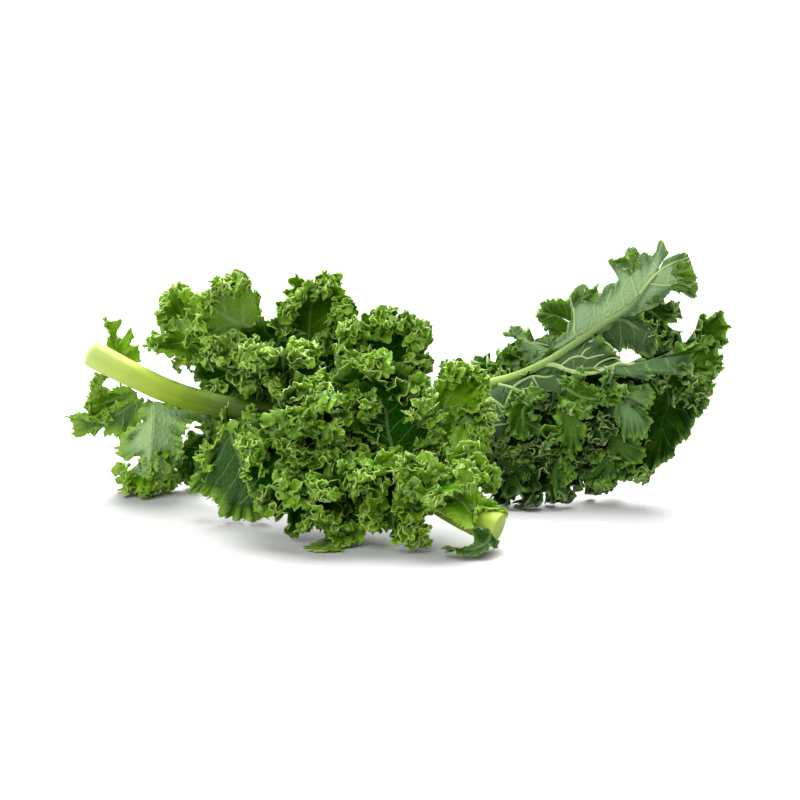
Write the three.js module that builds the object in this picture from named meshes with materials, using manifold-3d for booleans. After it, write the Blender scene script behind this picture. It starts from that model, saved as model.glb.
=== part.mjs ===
// Three cut leaves of curly kale lying together as a loose bunch.
// Each leaf is a pale stem that runs on as the midrib, and one green blade of ruffled lobes.
// Millimetres, +Z up, X along the bunch, and the front of the bunch faces -Y.
import * as THREE from "three";
import { mergeVertices } from "three/addons/utils/BufferGeometryUtils.js";
import Module from "manifold-3d";

const wasm = await Module();
wasm.setup();

// Driving dimensions.
const BLADE_THICKNESS = 0.8;
const CLEARANCE = 0.35; // between a blade and any stem or other blade
const TABLE_BEND = 5; // radius at which a hanging lobe turns to lie on the table
const FLAT_LEVEL = 0.25; // height of a blade's middle where it lies on the table, which flattens its underside
const ORIGIN_SHIFT = [5.02, -7.33, 0]; // puts the origin on the table, under the middle of the bunch
const COLLAR_THICKNESS = 1.1; // strip of blade along the inner side of the stem
const STEM_SIDES = 10;
const STEM_RINGS = 13;

// Grid of a lobe: rows run from its vein out to its rim, and columns run round the rim.
const RIM_SPACING = 4.6;
const ROWS = [
  { r: 0, split: 4 }, // split: how many columns of the rim make one of this row
  { r: 0.45, split: 4 },
  { r: 0.78, split: 2 },
  { r: 1, split: 1 },
];
const BLUNT = 2.5; // 2 ends a lobe in an ellipse, and more makes its end squarer
const TOOTH = 0.04; // share by which every other rim point stands out

// Ruffles: broad folds that reach far into the lobe, and narrow frills along its rim.
const FOLDS = [
  { length: 22, height: 5.5, lean: 0.3, from: 0.22, power: 1.3 },
  { length: 9.5, height: 2.2, lean: 0, from: 0.7, power: 1 },
];

const LEAF_GREEN = new THREE.Color("#5f9a34");
const DEEP_GREEN = new THREE.Color("#3f7a35");
const STEM_GREEN = new THREE.Color("#c3d77c");

// A lobe leaves the stem at the share "at" of its length, and its vein runs through the listed points.
// Its face looks the given way, half is its half-width, base is the share of that at its root, and cup is
// how far its sides curl, in radians. shape may weaken its ruffles, and cut scallops into its rim.
function lobe(at, vein, face, half, base, cup, shape = {}) {
  return { at, vein, face, half, base, cup, ruffle: 1, scallops: 0, notch: 0, ...shape };
}

// The stem is a list of [x, y, z, radius] from its cut end to its tip. The blade grows from the stem's
// inner side, given at its cut end and at its tip, and wraps so many radians round it to each side.
const LEFT_LEAF = {
  name: "left_leaf",
  green: LEAF_GREEN,
  wrap: 1.2,
  inner: [[0, 0.75, -0.66], [0, 0.9, 0.3]],
  stem: [
    [-159, 45, 75, 6.9],
    [-141, 42, 66, 6.5],
    [-118, 38, 56, 6.2],
    [-95, 32, 51, 5.8],
    [-74, 26, 49, 5.4],
    [-46, 28, 49, 4.2],
    [-21, 36, 55, 2.8],
    [0, 50, 65, 1.5],
  ],
  lobes: [
    lobe(0.14, [[-149, 52, 50], [-166, 58, 33]], [0.3, 1, 0.3], 19, 0.5, 0.5),
    lobe(0.1, [[-147, 56, 74], [-150, 60, 92]], [0, 1, 0], 9, 0.3, 0.4),
    lobe(0.22, [[-126, 33, 32], [-131, 36, -5]], [0.1, 1, 0.2], 21, 0.25, -0.5),
    lobe(0.34, [[-111, 58, 25], [-108, 66, 6]], [0, 1, 0.3], 15, 0.4, 0.4),
    lobe(0.45, [[-85, 12, 25], [-78, -2, -6]], [0, 0.9, 0.5], 21, 0.3, 0.3),
    lobe(0.4, [[-100, 48, 69], [-121, 54, 97]], [0.3, -1, 0.3], 22, 0.2, 0.9),
    lobe(0.6, [[-72, 40, 78], [-90, 32, 110]], [0.2, -1, 0.1], 25, 0.3, 0.5),
    lobe(0.7, [[-49, 44, 79], [-46, 40, 116]], [0, -1, 0.1], 24, 0.4, 0.9),
    lobe(0.56, [[-64, 8, 70], [-60, -10, 87]], [0, -0.6, 1], 24, 0.3, -0.5),
    lobe(0.84, [[-16, 46, 69], [-28, 44, 90]], [0, -1, 0], 20, 0.6, 0.4),
  ],
};

const FRONT_LEAF = {
  name: "front_leaf",
  green: LEAF_GREEN,
  wrap: 1.9,
  inner: [[0.6, 0.8, 0.1], [0, 0.2, 1]],
  stem: [
    [44, -55, 13, 8.4],
    [28, -44, 17, 7.4],
    [12, -30, 22, 5.9],
    [-7, -17, 28, 4.5],
    [-30, -11, 37, 3.2],
    [-50, -9, 44, 2.2],
    [-69, -9, 52, 1.3],
  ],
  lobes: [
    lobe(0.08, [[38, -46, 28], [26, -46, 40]], [0.4, 1, -0.2], 14, 0.5, -0.5),
    lobe(0.09, [[37, -51, 1], [20, -53, -5]], [0, 0.3, -1], 8, 0.7, 0.3),
    lobe(0.3, [[24, -12, 41], [26, 0, 59], [33, 2, 78]], [-0.5, -1, 0.1], 19, 0.45, 0.7),
    lobe(0.45, [[-5, 0, 41], [-7, 8, 61], [-4, 4, 101]], [0, -1, 0], 23, 0.15, 0.6),
    lobe(0.52, [[-10, 4, 58], [-15, -22, 83]], [0, -0.7, 1], 22, 0.15, -0.6),
    lobe(0.74, [[-52, -20, 60], [-55, -30, 72]], [0, -1, 1], 20, 0.4, -0.4),
    lobe(0.66, [[-38, -18, 60], [-37, -27, 77]], [0, -0.9, 0.5], 17, 0.4, 0.4),
    lobe(0.97, [[-72, -16, 51], [-79, -28, 46]], [-0.4, 0, 1], 18, 0.5, -0.6),
    lobe(0.8, [[-58, -26, 40], [-62, -44, 24]], [0, -0.6, 1], 22, 0.4, -0.5),
    lobe(0.6, [[-28, -24, 52], [-27, -38, 62]], [0, -0.8, 1], 20, 0.4, -0.5),
    lobe(0.58, [[-33, -34, 37], [-38, -50, 29]], [0, -0.4, 1], 19, 0.4, -0.5),
    lobe(0.55, [[-26, -30, 18], [-24, -41, -5]], [0, -1, 0.5], 18, 0.4, -0.4),
    lobe(0.4, [[2, -36, 32], [0, -54, 34]], [0, -0.2, 1], 20, 0.4, -0.5),
    lobe(0.4, [[-2, -38, 22], [-4, -49, 8]], [0, -0.7, 1], 17, 0.4, -0.4),
    lobe(0.26, [[17, -48, 32], [15, -60, 30]], [0, -0.3, 1], 14, 0.5, -0.4),
  ],
};

const TIP_SHAPE = { ruffle: 0.35, scallops: 8, notch: 0.32 }; // the flat upper part of the right leaf
const ARM_SHAPE = { ruffle: 0.6, scallops: 4, notch: 0.15 }; // its long side lobe

const RIGHT_LEAF = {
  name: "right_leaf",
  green: DEEP_GREEN,
  wrap: 1.2,
  inner: [[0, 1, 0.2], [0, 1, 0.2]],
  stem: [
    [-30, 78, 14, 5.2],
    [10, 64, 38, 4.5],
    [42, 50, 56, 3.7],
    [59, 47, 62, 3.3],
    [75, 45, 70, 2.9],
    [90, 45, 80, 2.4],
    [104, 45, 90, 2],
    [120, 45, 99, 1.7],
    [127, 46, 106, 1.4],
    [134, 48, 114, 1],
  ],
  lobes: [
    lobe(0.36, [[72, 50, 71], [104, 52, 92], [126, 53, 108], [146, 54, 124]], [0, 1, 0.1], 22, 0.45, 0.2, TIP_SHAPE),
    lobe(0.48, [[98, 38, 63], [115, 34, 67], [137, 31, 72], [162, 27, 84]], [0, 1, 0.3], 17, 0.4, 0.5, ARM_SHAPE),
    lobe(0.34, [[56, 42, 34], [59, 30, -3]], [-0.2, 1, 0.3], 21, 0.3, -0.4),
    lobe(0.42, [[80, 44, 38], [88, 35, -9]], [0, 1, 0.2], 22, 0.25, -0.4),
    lobe(0.53, [[108, 47, 50], [112, 42, 12]], [0.1, 1, 0], 20, 0.2, -0.3),
    lobe(0.62, [[130, 54, 66], [138, 54, 44], [129, 54, 22]], [0.2, 1, 0], 18, 0.3, 0.4, { ruffle: 0.6 }),
    lobe(0.3, [[40, 70, 52], [42, 84, 52]], [0, 0.2, 1], 20, 0.5, 0.5),
  ],
};

const vector = (list) => new THREE.Vector3(list[0], list[1], list[2]);

// A repeatable value between -1 and 1 that drifts smoothly with x and differs with the seed.
function drift(x, seed) {
  return 0.5 * (Math.sin(1.3 * x + 7.1 * seed) + Math.sin(2.9 * x + 3.7 * seed + 1.3));
}

// How far r has gone from "from" to 1, raised to a power.
function rise(r, from, power) {
  return Math.max(0, (r - from) / (1 - from)) ** power;
}

function stemPath(leaf) {
  return new THREE.CatmullRomCurve3(leaf.stem.map(vector), false, "centripetal");
}

// Radius at the share u of the stem's length, read straight between the listed points.
function stemRadius(leaf, path, u) {
  const at = path.getUtoTmapping(u) * (leaf.stem.length - 1);
  const low = Math.min(Math.floor(at), leaf.stem.length - 2);
  return THREE.MathUtils.lerp(leaf.stem[low][3], leaf.stem[low + 1][3], at - low);
}

// Centre, direction, inner side and cross direction of the stem at the share u.
function stemFrame(leaf, u) {
  const path = leaf.path;
  const along = path.getTangentAt(u);
  const inner = vector(leaf.inner[0]).lerp(vector(leaf.inner[1]), u);
  inner.addScaledVector(along, -inner.dot(along)).normalize();
  const cross = new THREE.Vector3().crossVectors(along, inner);
  return { centre: path.getPointAt(u), along, inner, cross, radius: stemRadius(leaf, path, u) };
}

// A closed sweep through rings that all have the same number of points. Each end is capped from one point.
function sweep(rings) {
  const sides = rings[0].length;
  const points = rings.flat();
  const faces = [];
  for (let k = 0; k + 1 < rings.length; k++)
    for (let i = 0; i < sides; i++) {
      const a = k * sides + i;
      const b = k * sides + ((i + 1) % sides);
      faces.push([a, b, b + sides], [a, b + sides, a + sides]);
    }
  const last = points.length - sides;
  for (let i = 1; i + 1 < sides; i++) {
    faces.push([0, i + 1, i]);
    faces.push([last, last + i, last + i + 1]);
  }
  return geometry(points, faces);
}

function ringPoint(frame, angle, radius) {
  return frame.centre
    .clone()
    .addScaledVector(frame.inner, Math.cos(angle) * radius)
    .addScaledVector(frame.cross, Math.sin(angle) * radius);
}

// The round tapering stem, made fatter by "extra" all round and at both ends.
function stemSolid(leaf, extra) {
  const rings = [];
  for (let k = 0; k <= STEM_RINGS; k++) {
    const frame = stemFrame(leaf, k / STEM_RINGS);
    const end = k === 0 ? -extra : k === STEM_RINGS ? extra : 0;
    frame.centre.addScaledVector(frame.along, end);
    rings.push(
      Array.from({ length: STEM_SIDES }, (_, i) =>
        ringPoint(frame, (2 * Math.PI * i) / STEM_SIDES, frame.radius + extra),
      ),
    );
  }
  return sweep(rings);
}

// The strip of blade that runs along the inner side of the stem and joins the lobes.
function collarSolid(leaf) {
  const rings = [];
  for (let k = 0; k <= STEM_RINGS; k++) {
    const share = leaf.collar[0] + ((leaf.collar[1] - leaf.collar[0]) * k) / STEM_RINGS;
    const frame = stemFrame(leaf, share);
    const outside = frame.radius + CLEARANCE + COLLAR_THICKNESS;
    const arc = [-3, -2, -1, 0, 1, 2, 3].map((s) => ringPoint(frame, (s / 3) * leaf.wrap, outside));
    rings.push([frame.centre.clone(), ...arc]);
  }
  return sweep(rings);
}

// Half-width of a lobe at the share x of its vein: it widens from its base, and ends in a round tip.
function outline(lobe, x) {
  const widest = 0.58;
  if (x >= widest) return Math.max(0, 1 - ((x - widest) / (1 - widest)) ** BLUNT) ** (1 / BLUNT);
  const s = x / widest;
  return lobe.base + (1 - lobe.base) * s * s * (3 - 2 * s);
}

// The flat rim from its tip back to its base, as points spaced evenly along it.
function rimTable(lobe, length) {
  const steps = 240;
  const table = [{ run: 0, x: 1, w: 0 }];
  for (let i = 1; i <= steps; i++) {
    const x = Math.cos((Math.PI * i) / (2 * steps));
    const w = outline(lobe, x);
    const before = table[i - 1];
    const step = Math.hypot((before.x - x) * length, (before.w - w) * lobe.half);
    table.push({ run: before.run + step, x, w });
  }
  return table;
}

function rimPoint(table, share) {
  const run = share * table[table.length - 1].run;
  let i = 1;
  while (i < table.length - 1 && table[i].run < run) i++;
  const a = table[i - 1];
  const b = table[i];
  const s = (run - a.run) / (b.run - a.run || 1);
  return { x: a.x + (b.x - a.x) * s, w: a.w + (b.w - a.w) * s };
}

// The root of a lobe lies in the collar, on the side that its vein sets off to.
function rootPoint(leaf, lobe) {
  const frame = stemFrame(leaf, lobe.at);
  const away = vector(lobe.vein[0]).sub(frame.centre);
  const angle = Math.atan2(away.dot(frame.cross), away.dot(frame.inner));
  const most = leaf.wrap * 0.8;
  const held = THREE.MathUtils.clamp(angle, -most, most);
  return ringPoint(frame, held, frame.radius + CLEARANCE + COLLAR_THICKNESS / 2);
}

// The smooth sheet of a lobe, before its ruffles: t runs round the rim from -1 to 1, and r from vein to rim.
function smoothSheet(leaf, lobe) {
  const points = [rootPoint(leaf, lobe), ...lobe.vein.map(vector)];
  const curve = new THREE.CatmullRomCurve3(points, false, "centripetal");
  const length = curve.getLength();
  const table = rimTable(lobe, length);
  const face = vector(lobe.face).normalize();
  lobe.rimLength = 2 * table[table.length - 1].run;
  return (r, t) => {
    const rim = rimPoint(table, Math.min(1, Math.abs(t)));
    const rootShare = 0.7 * rim.x;
    const dip = (1 - Math.cos(Math.PI * lobe.scallops * (t + 1))) / 2;
    const reach = r * (1 - lobe.notch * r * dip);
    const along = rootShare + reach * (rim.x - rootShare);
    const aside = reach * rim.w * lobe.half * Math.sign(t);
    const u = THREE.MathUtils.clamp(along, 0, 1);
    const forward = curve.getTangentAt(u);
    const normal = face.clone().addScaledVector(forward, -face.dot(forward)).normalize();
    const side = new THREE.Vector3().crossVectors(forward, normal);
    const bend = lobe.cup / lobe.half;
    return curve
      .getPointAt(u)
      .addScaledVector(side, Math.sin(bend * aside) / bend)
      .addScaledVector(normal, (1 - Math.cos(bend * aside)) / bend);
  };
}

// One set of folds laid on a sheet: each point moves along the sheet's normal, and leans along the rim.
function folded(sheet, fold, strength, rimLength, seed) {
  const count = Math.max(3, Math.round(rimLength / fold.length));
  const turn = Math.PI * count;
  const step = 0.12 / count;
  return (r, t) => {
    const here = sheet(r, t);
    const full = strength * fold.height * (1 + 0.35 * drift(3.1 * t, seed));
    const size = full * rise(r, fold.from, fold.power);
    if (size === 0) return here;
    const along = sheet(r, Math.min(1, t + step)).sub(sheet(r, Math.max(-1, t - step))).normalize();
    const outward = sheet(Math.min(1.02, r + 0.03), t).sub(sheet(r - 0.03, t));
    const normal = new THREE.Vector3().crossVectors(along, outward).normalize();
    const phase = turn * (t + 0.06 * drift(5 * t, seed + 1)) + 5 * seed;
    return here
      .addScaledVector(normal, size * Math.sin(phase))
      .addScaledVector(along, -size * fold.lean * Math.sin(2 * phase));
  };
}

// A lobe that reaches the table bends round a quarter circle and lies flat on it, to the side of its tip.
function settled(point, lobe) {
  const below = TABLE_BEND - point.z;
  if (below <= 0) return point;
  const turn = Math.min(below / TABLE_BEND, Math.PI / 2);
  const aside = TABLE_BEND * (1 - Math.cos(turn)) + Math.max(0, below - (TABLE_BEND * Math.PI) / 2);
  const face = new THREE.Vector3(lobe.face[0], lobe.face[1], 0).normalize();
  const [before, tip] = lobe.vein.slice(-2).map(vector);
  point.addScaledVector(face, aside * (face.dot(tip.sub(before)) < 0 ? -1 : 1));
  point.z = FLAT_LEVEL + TABLE_BEND * (1 - Math.sin(turn));
  return point;
}

// A closed thin solid round the ruffled sheet of a lobe, with its rim "grow" millimetres further out.
function lobeSolid(leaf, lobe, seed, thickness, grow) {
  let sheet = smoothSheet(leaf, lobe);
  FOLDS.forEach((fold, k) => {
    sheet = folded(sheet, fold, lobe.ruffle, lobe.rimLength, seed + 0.37 * k);
  });
  const reach = 1 + grow / lobe.half;
  const columns = 8 * Math.round(lobe.rimLength / (8 * RIM_SPACING));
  const points = [];
  const rows = ROWS.map(({ r, split }) => {
    const count = columns / split;
    return Array.from({ length: count + 1 }, (_, j) => {
      if (r === 0 && j > count / 2) return count - j; // the vein is shared by both halves
      const tooth = split === 1 ? TOOTH * (j % 2 ? 1 : -1) : 0;
      points.push(settled(sheet(r * (1 + tooth) * reach, (2 * j) / count - 1), lobe));
      return points.length - 1;
    });
  });
  const faces = rows.slice(1).flatMap((row, i) => band(rows[i], row));
  return shell(points, faces, thickness);
}

// Triangles between two rows of points. The outer row has as many columns as the inner one, or twice as many.
function band(inner, outer) {
  const twice = outer.length > inner.length;
  const faces = [];
  for (let j = 0; j + 1 < inner.length; j++) {
    const [a, b] = [inner[j], inner[j + 1]];
    if (twice) {
      const [c, d, e] = outer.slice(2 * j, 2 * j + 3);
      faces.push([a, b, d], [a, d, c], [b, e, d]);
    } else faces.push([a, b, outer[j + 1]], [a, outer[j + 1], outer[j]]);
  }
  return faces.filter(([a, b, c]) => a !== b && b !== c && a !== c);
}

// Gives a sheet of triangles its thickness: two faces split alike, and a wall round every free edge.
function shell(points, faces, thickness) {
  const sheet = geometry(points, faces);
  sheet.computeVertexNormals();
  const normals = sheet.getAttribute("normal");
  const normal = (i) => new THREE.Vector3().fromBufferAttribute(normals, i);
  const offset = (side) => points.map((p, i) => p.clone().addScaledVector(normal(i), (side * thickness) / 2));
  const count = points.length;
  const edges = new Set(faces.flatMap(([a, b, c]) => [`${a},${b}`, `${b},${c}`, `${c},${a}`]));
  const walls = [];
  for (const edge of edges) {
    const [a, b] = edge.split(",").map(Number);
    if (!edges.has(`${b},${a}`)) walls.push([b, a, a + count], [b, a + count, b + count]);
  }
  const back = faces.map(([a, b, c]) => [a + count, c + count, b + count]);
  return geometry([...offset(1), ...offset(-1)], [...faces, ...back, ...walls]);
}

function geometry(points, faces) {
  const made = new THREE.BufferGeometry().setFromPoints(points);
  made.setIndex(faces.flat());
  return made;
}

function toSolid(made) {
  const merged = mergeVertices(made, 1e-4);
  return new wasm.Manifold(
    new wasm.Mesh({
      numProp: 3,
      vertProperties: merged.getAttribute("position").array,
      triVerts: new Uint32Array(merged.index.array),
    }),
  );
}

function toGeometry(solid) {
  const mesh = solid.getMesh();
  const made = new THREE.BufferGeometry();
  made.setAttribute("position", new THREE.BufferAttribute(mesh.vertProperties, 3));
  made.setIndex(new THREE.BufferAttribute(mesh.triVerts, 1));
  return made;
}

// The largest body of a solid: loose scraps that a cut leaves are dropped.
function mainBody(solid) {
  return solid.decompose().sort((a, b) => b.volume() - a.volume())[0];
}

function lobesOf(leaf, thickness, grow) {
  return leaf.lobes.map((lobe, i) => toSolid(lobeSolid(leaf, lobe, leaf.seed + i, thickness, grow)));
}

const leaves = [LEFT_LEAF, FRONT_LEAF, RIGHT_LEAF];
leaves.forEach((leaf, i) => {
  leaf.path = stemPath(leaf);
  leaf.seed = 1 + 20 * i;
  const places = leaf.lobes.map((lobe) => lobe.at);
  const first = Math.max(0.02, Math.min(...places) - 0.03);
  const last = Math.min(0.99, Math.max(...places) + 0.03);
  leaf.collar = [first, last]; // shares of the stem's length where its strip of blade starts and ends
});

// Everything below the table top, which flattens what lies on it.
function tableSolid() {
  const table = new THREE.BoxGeometry(600, 600, 20).translate(0, 0, -10);
  table.deleteAttribute("normal").deleteAttribute("uv");
  return toSolid(table);
}

const bunch = new THREE.Group();
const fatStems = wasm.Manifold.union(leaves.map((leaf) => toSolid(stemSolid(leaf, CLEARANCE))));
let taken = fatStems.add(tableSolid()); // what a blade has to stay clear of
for (const leaf of leaves) {
  const stem = new THREE.Mesh(
    stemSolid(leaf, 0),
    new THREE.MeshStandardMaterial({ color: STEM_GREEN, roughness: 0.45, metalness: 0 }),
  );
  stem.name = `${leaf.name}_stem`;

  const whole = wasm.Manifold.union([toSolid(collarSolid(leaf)), ...lobesOf(leaf, BLADE_THICKNESS, 0)]);
  const blade = new THREE.Mesh(
    toGeometry(mainBody(whole.subtract(taken))),
    new THREE.MeshStandardMaterial({ color: leaf.green, roughness: 0.55, metalness: 0 }),
  );
  blade.name = `${leaf.name}_blade`;
  const fatLobes = lobesOf(leaf, BLADE_THICKNESS + 2 * CLEARANCE, CLEARANCE);
  taken = wasm.Manifold.union([taken, ...fatLobes]);
  bunch.add(stem, blade);
}

bunch.position.copy(vector(ORIGIN_SHIFT));

export default bunch;
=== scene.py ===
"""A loose bunch of three cut curly kale leaves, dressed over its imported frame.
Lengths in the tables are millimetres, and meshes are in metres."""
import math

import bpy
import numpy as np
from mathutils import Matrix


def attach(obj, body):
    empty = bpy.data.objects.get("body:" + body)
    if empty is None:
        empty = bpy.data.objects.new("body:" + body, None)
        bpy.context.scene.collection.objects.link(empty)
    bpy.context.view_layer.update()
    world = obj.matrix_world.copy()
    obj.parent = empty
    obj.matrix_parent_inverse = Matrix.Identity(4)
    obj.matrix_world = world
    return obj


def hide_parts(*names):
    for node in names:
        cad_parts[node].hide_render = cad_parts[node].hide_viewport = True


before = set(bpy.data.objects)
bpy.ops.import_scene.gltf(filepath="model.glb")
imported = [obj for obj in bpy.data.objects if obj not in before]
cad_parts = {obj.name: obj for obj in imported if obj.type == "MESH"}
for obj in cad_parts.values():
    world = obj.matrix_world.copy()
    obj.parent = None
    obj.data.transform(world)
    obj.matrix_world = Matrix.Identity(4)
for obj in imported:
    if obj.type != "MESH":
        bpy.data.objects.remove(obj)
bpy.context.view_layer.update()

# Left leaf, stem: a thick fleshy petiole cut with a knife at its left end, which runs on as the midrib.
# It is solid plant tissue with fine strings under a smooth skin, pale at the cut and greener inwards, where
# its colour also holds painted shade from the leaves over it.
MM = 0.001
BUNCH_PLACE = np.array([5.02, -7.33, 0.0])  # where the layout's origin lies in the row frame
CURVE_STEPS = 64  # points of a curve between two listed ones
WELD_DIGITS = 4  # decimals of a millimetre up to which points coincide
LEFT_STEM = [  # x, y, z and radius of its middle line, from the cut end
    (-159, 45, 75, 6.9), (-141, 42, 66, 6.5), (-118, 38, 56, 6.2), (-95, 32, 51, 5.8),
    (-74, 26, 49, 5.4), (-46, 28, 49, 4.2), (-21, 36, 55, 2.8), (0, 50, 65, 1.5),
]
LEFT_INNER = ((0, 0.75, -0.66), (0, 0.9, 0.3))  # side that the blade grows from, at the cut and the tip
STEM_RINGS = 110
STEM_SIDES = 40
STEM_RIBS = ((0.012, 5, 0), (0.008, 11, 1), (0.005, 17, 2))  # height, number and turn of its low ribs
STRING_TURN = 6  # millimetres of the strings' pattern in a radian round a stem
CUT_END = ((0, 0.05), (0.4, 0.05), (0.75, 0.02), (0.9, 0.0), (0.97, 0.015))  # share of the radius, and depth
THIN_END = ((0.9, 0.4), (0.6, 0.8), (0.25, 0.97), (0, 1.0))
GREEN_AND_SHADE_STOPS = (0.1, 0.26, 0.43, 0.6, 0.75, 1.0)  # where on its colour ramp a stem has each of its six colours; further along is greener and darker, partly painted shade


def unit(v):
    """Each vector divided by its length."""
    return v / np.maximum(np.linalg.norm(v, axis=-1, keepdims=True), 1e-12)


def dot(a, b):
    """The scalar products of the vectors in a and b, with a last axis of one."""
    return np.sum(a * b, axis=-1, keepdims=True)


def curve_through(points):
    """A centripetal Catmull-Rom curve. Between two points each coordinate is a cubic whose slopes at its
    ends come from the neighbouring points, spaced by the square roots of their distances, and the first
    and last points are mirrored to give the outermost slopes. Returns a function of the share of its
    length, which gives place, direction and position in the list, and the curve's length."""
    p = np.array(points, float)
    p = np.vstack([2 * p[0] - p[1], p, 2 * p[-1] - p[-2]])
    gap = np.sqrt(np.linalg.norm(np.diff(p, axis=0), axis=1))
    t = np.linspace(0, 1, CURVE_STEPS, endpoint=False)[:, None]
    stretches = []
    for k in range(1, len(p) - 2):
        a, b, c = gap[k - 1 : k + 2]
        step = p[k + 1] - p[k]
        start = ((p[k] - p[k - 1]) / a - (p[k + 1] - p[k - 1]) / (a + b) + step / b) * b
        end = (step / b - (p[k + 2] - p[k]) / (b + c) + (p[k + 2] - p[k + 1]) / c) * b
        bend = 3 * step - 2 * start - end
        stretches.append(p[k] + start * t + bend * t**2 + (start + end - 2 * step) * t**3)
    line = np.vstack([*stretches, p[-2:-1]])
    run = np.concatenate([[0], np.cumsum(np.linalg.norm(np.diff(line, axis=0), axis=1))])
    slope = unit(np.gradient(line, axis=0))
    listed = np.linspace(0, len(p) - 3, len(line))

    def at(share):
        """Place, direction and position in the list, read straight between the points of the curve."""
        s = np.clip(share, 0, 1) * run[-1]
        place, way = (
            np.stack([np.interp(s, run, values[:, i]) for i in range(3)], -1) for values in (line, slope)
        )
        return place, unit(way), np.interp(s, run, listed)

    return at, run[-1]


def stem_frame(stem, inner, u):
    """At the share u of the stem's length: its centre, its direction, the side that the blade grows from,
    the side across, and its radius. The first side is a straight mix of the two given ones, made square to
    the direction."""
    listed_points = np.array(stem, float)
    at, _ = curve_through(listed_points[:, :3])
    centre, along, listed = at(u)
    share = np.asarray(u, float)[..., None]
    side = np.array(inner[0]) * (1 - share) + np.array(inner[1]) * share
    side = unit(side - along * dot(side, along))
    radius = np.interp(listed, np.arange(len(stem)), listed_points[:, 3])
    return centre, along, side, np.cross(along, side), radius


def welded(points, faces):
    """Points that coincide are made one. Returns the triangles over the points that are left, without those
    that this leaves without area, and where each of these points stands in the list."""
    rounded = np.round(points, WELD_DIGITS)
    _, first, same = np.unique(rounded, axis=0, return_index=True, return_inverse=True)
    faces = same.reshape(-1)[faces]
    a, b, c = faces.T
    return faces[(a != b) & (b != c) & (c != a)], first


def piece_of(name, points, faces, attributes, material):
    """A smooth-shaded mesh from points in millimetres and triangles, with points that coincide made one. An
    attribute is one or three numbers a point."""
    faces, first = welded(points, faces)
    faces = faces.astype(np.int32)
    mesh = bpy.data.meshes.new(name)
    mesh.vertices.add(len(first))
    mesh.vertices.foreach_set("co", ((points[first] + BUNCH_PLACE) * MM).astype(np.float32).ravel())
    mesh.loops.add(faces.size)
    mesh.loops.foreach_set("vertex_index", faces.ravel())
    mesh.polygons.add(len(faces))
    mesh.polygons.foreach_set("loop_start", np.arange(0, faces.size, 3, dtype=np.int32))
    mesh.polygons.foreach_set("use_smooth", np.ones(len(faces), bool))
    for key, values in attributes.items():
        several = values.ndim == 2
        made = mesh.attributes.new(key, "FLOAT_VECTOR" if several else "FLOAT", "POINT")
        made.data.foreach_set("vector" if several else "value", values[first].astype(np.float32).ravel())
    mesh.update()
    mesh.materials.append(material)
    piece = bpy.data.objects.new(name, mesh)
    bpy.context.scene.collection.objects.link(piece)
    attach(piece, "root")
    return piece


def linear(code):
    """sRGB hex to linear light: c / 12.92 up to 0.04045, else (c + 0.055) / 1.055 to the power 2.4."""
    channels = [int(code[i : i + 2], 16) / 255 for i in (1, 3, 5)]
    return tuple(c / 12.92 if c <= 0.04045 else ((c + 0.055) / 1.055) ** 2.4 for c in channels) + (1.0,)


def add(tree, kind, values=None, **settings):
    """Adds a node and returns its first output, or the node itself if it has none. settings are its
    properties, and values its inputs: a socket there is linked, and anything else is set on the input."""
    node = tree.nodes.new(kind)
    for key, value in settings.items():
        setattr(node, key, value)
    for key, value in (values or {}).items():
        if isinstance(value, bpy.types.NodeSocket):
            tree.links.new(value, node.inputs[key])
        else:
            node.inputs[key].default_value = value
    return node.outputs[0] if len(node.outputs) else node


def empty_material(name):
    """A node material with nothing in it, and its tree."""
    material = bpy.data.materials.new(name)
    material.use_nodes = True
    material.node_tree.nodes.clear()
    return material, material.node_tree


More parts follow.
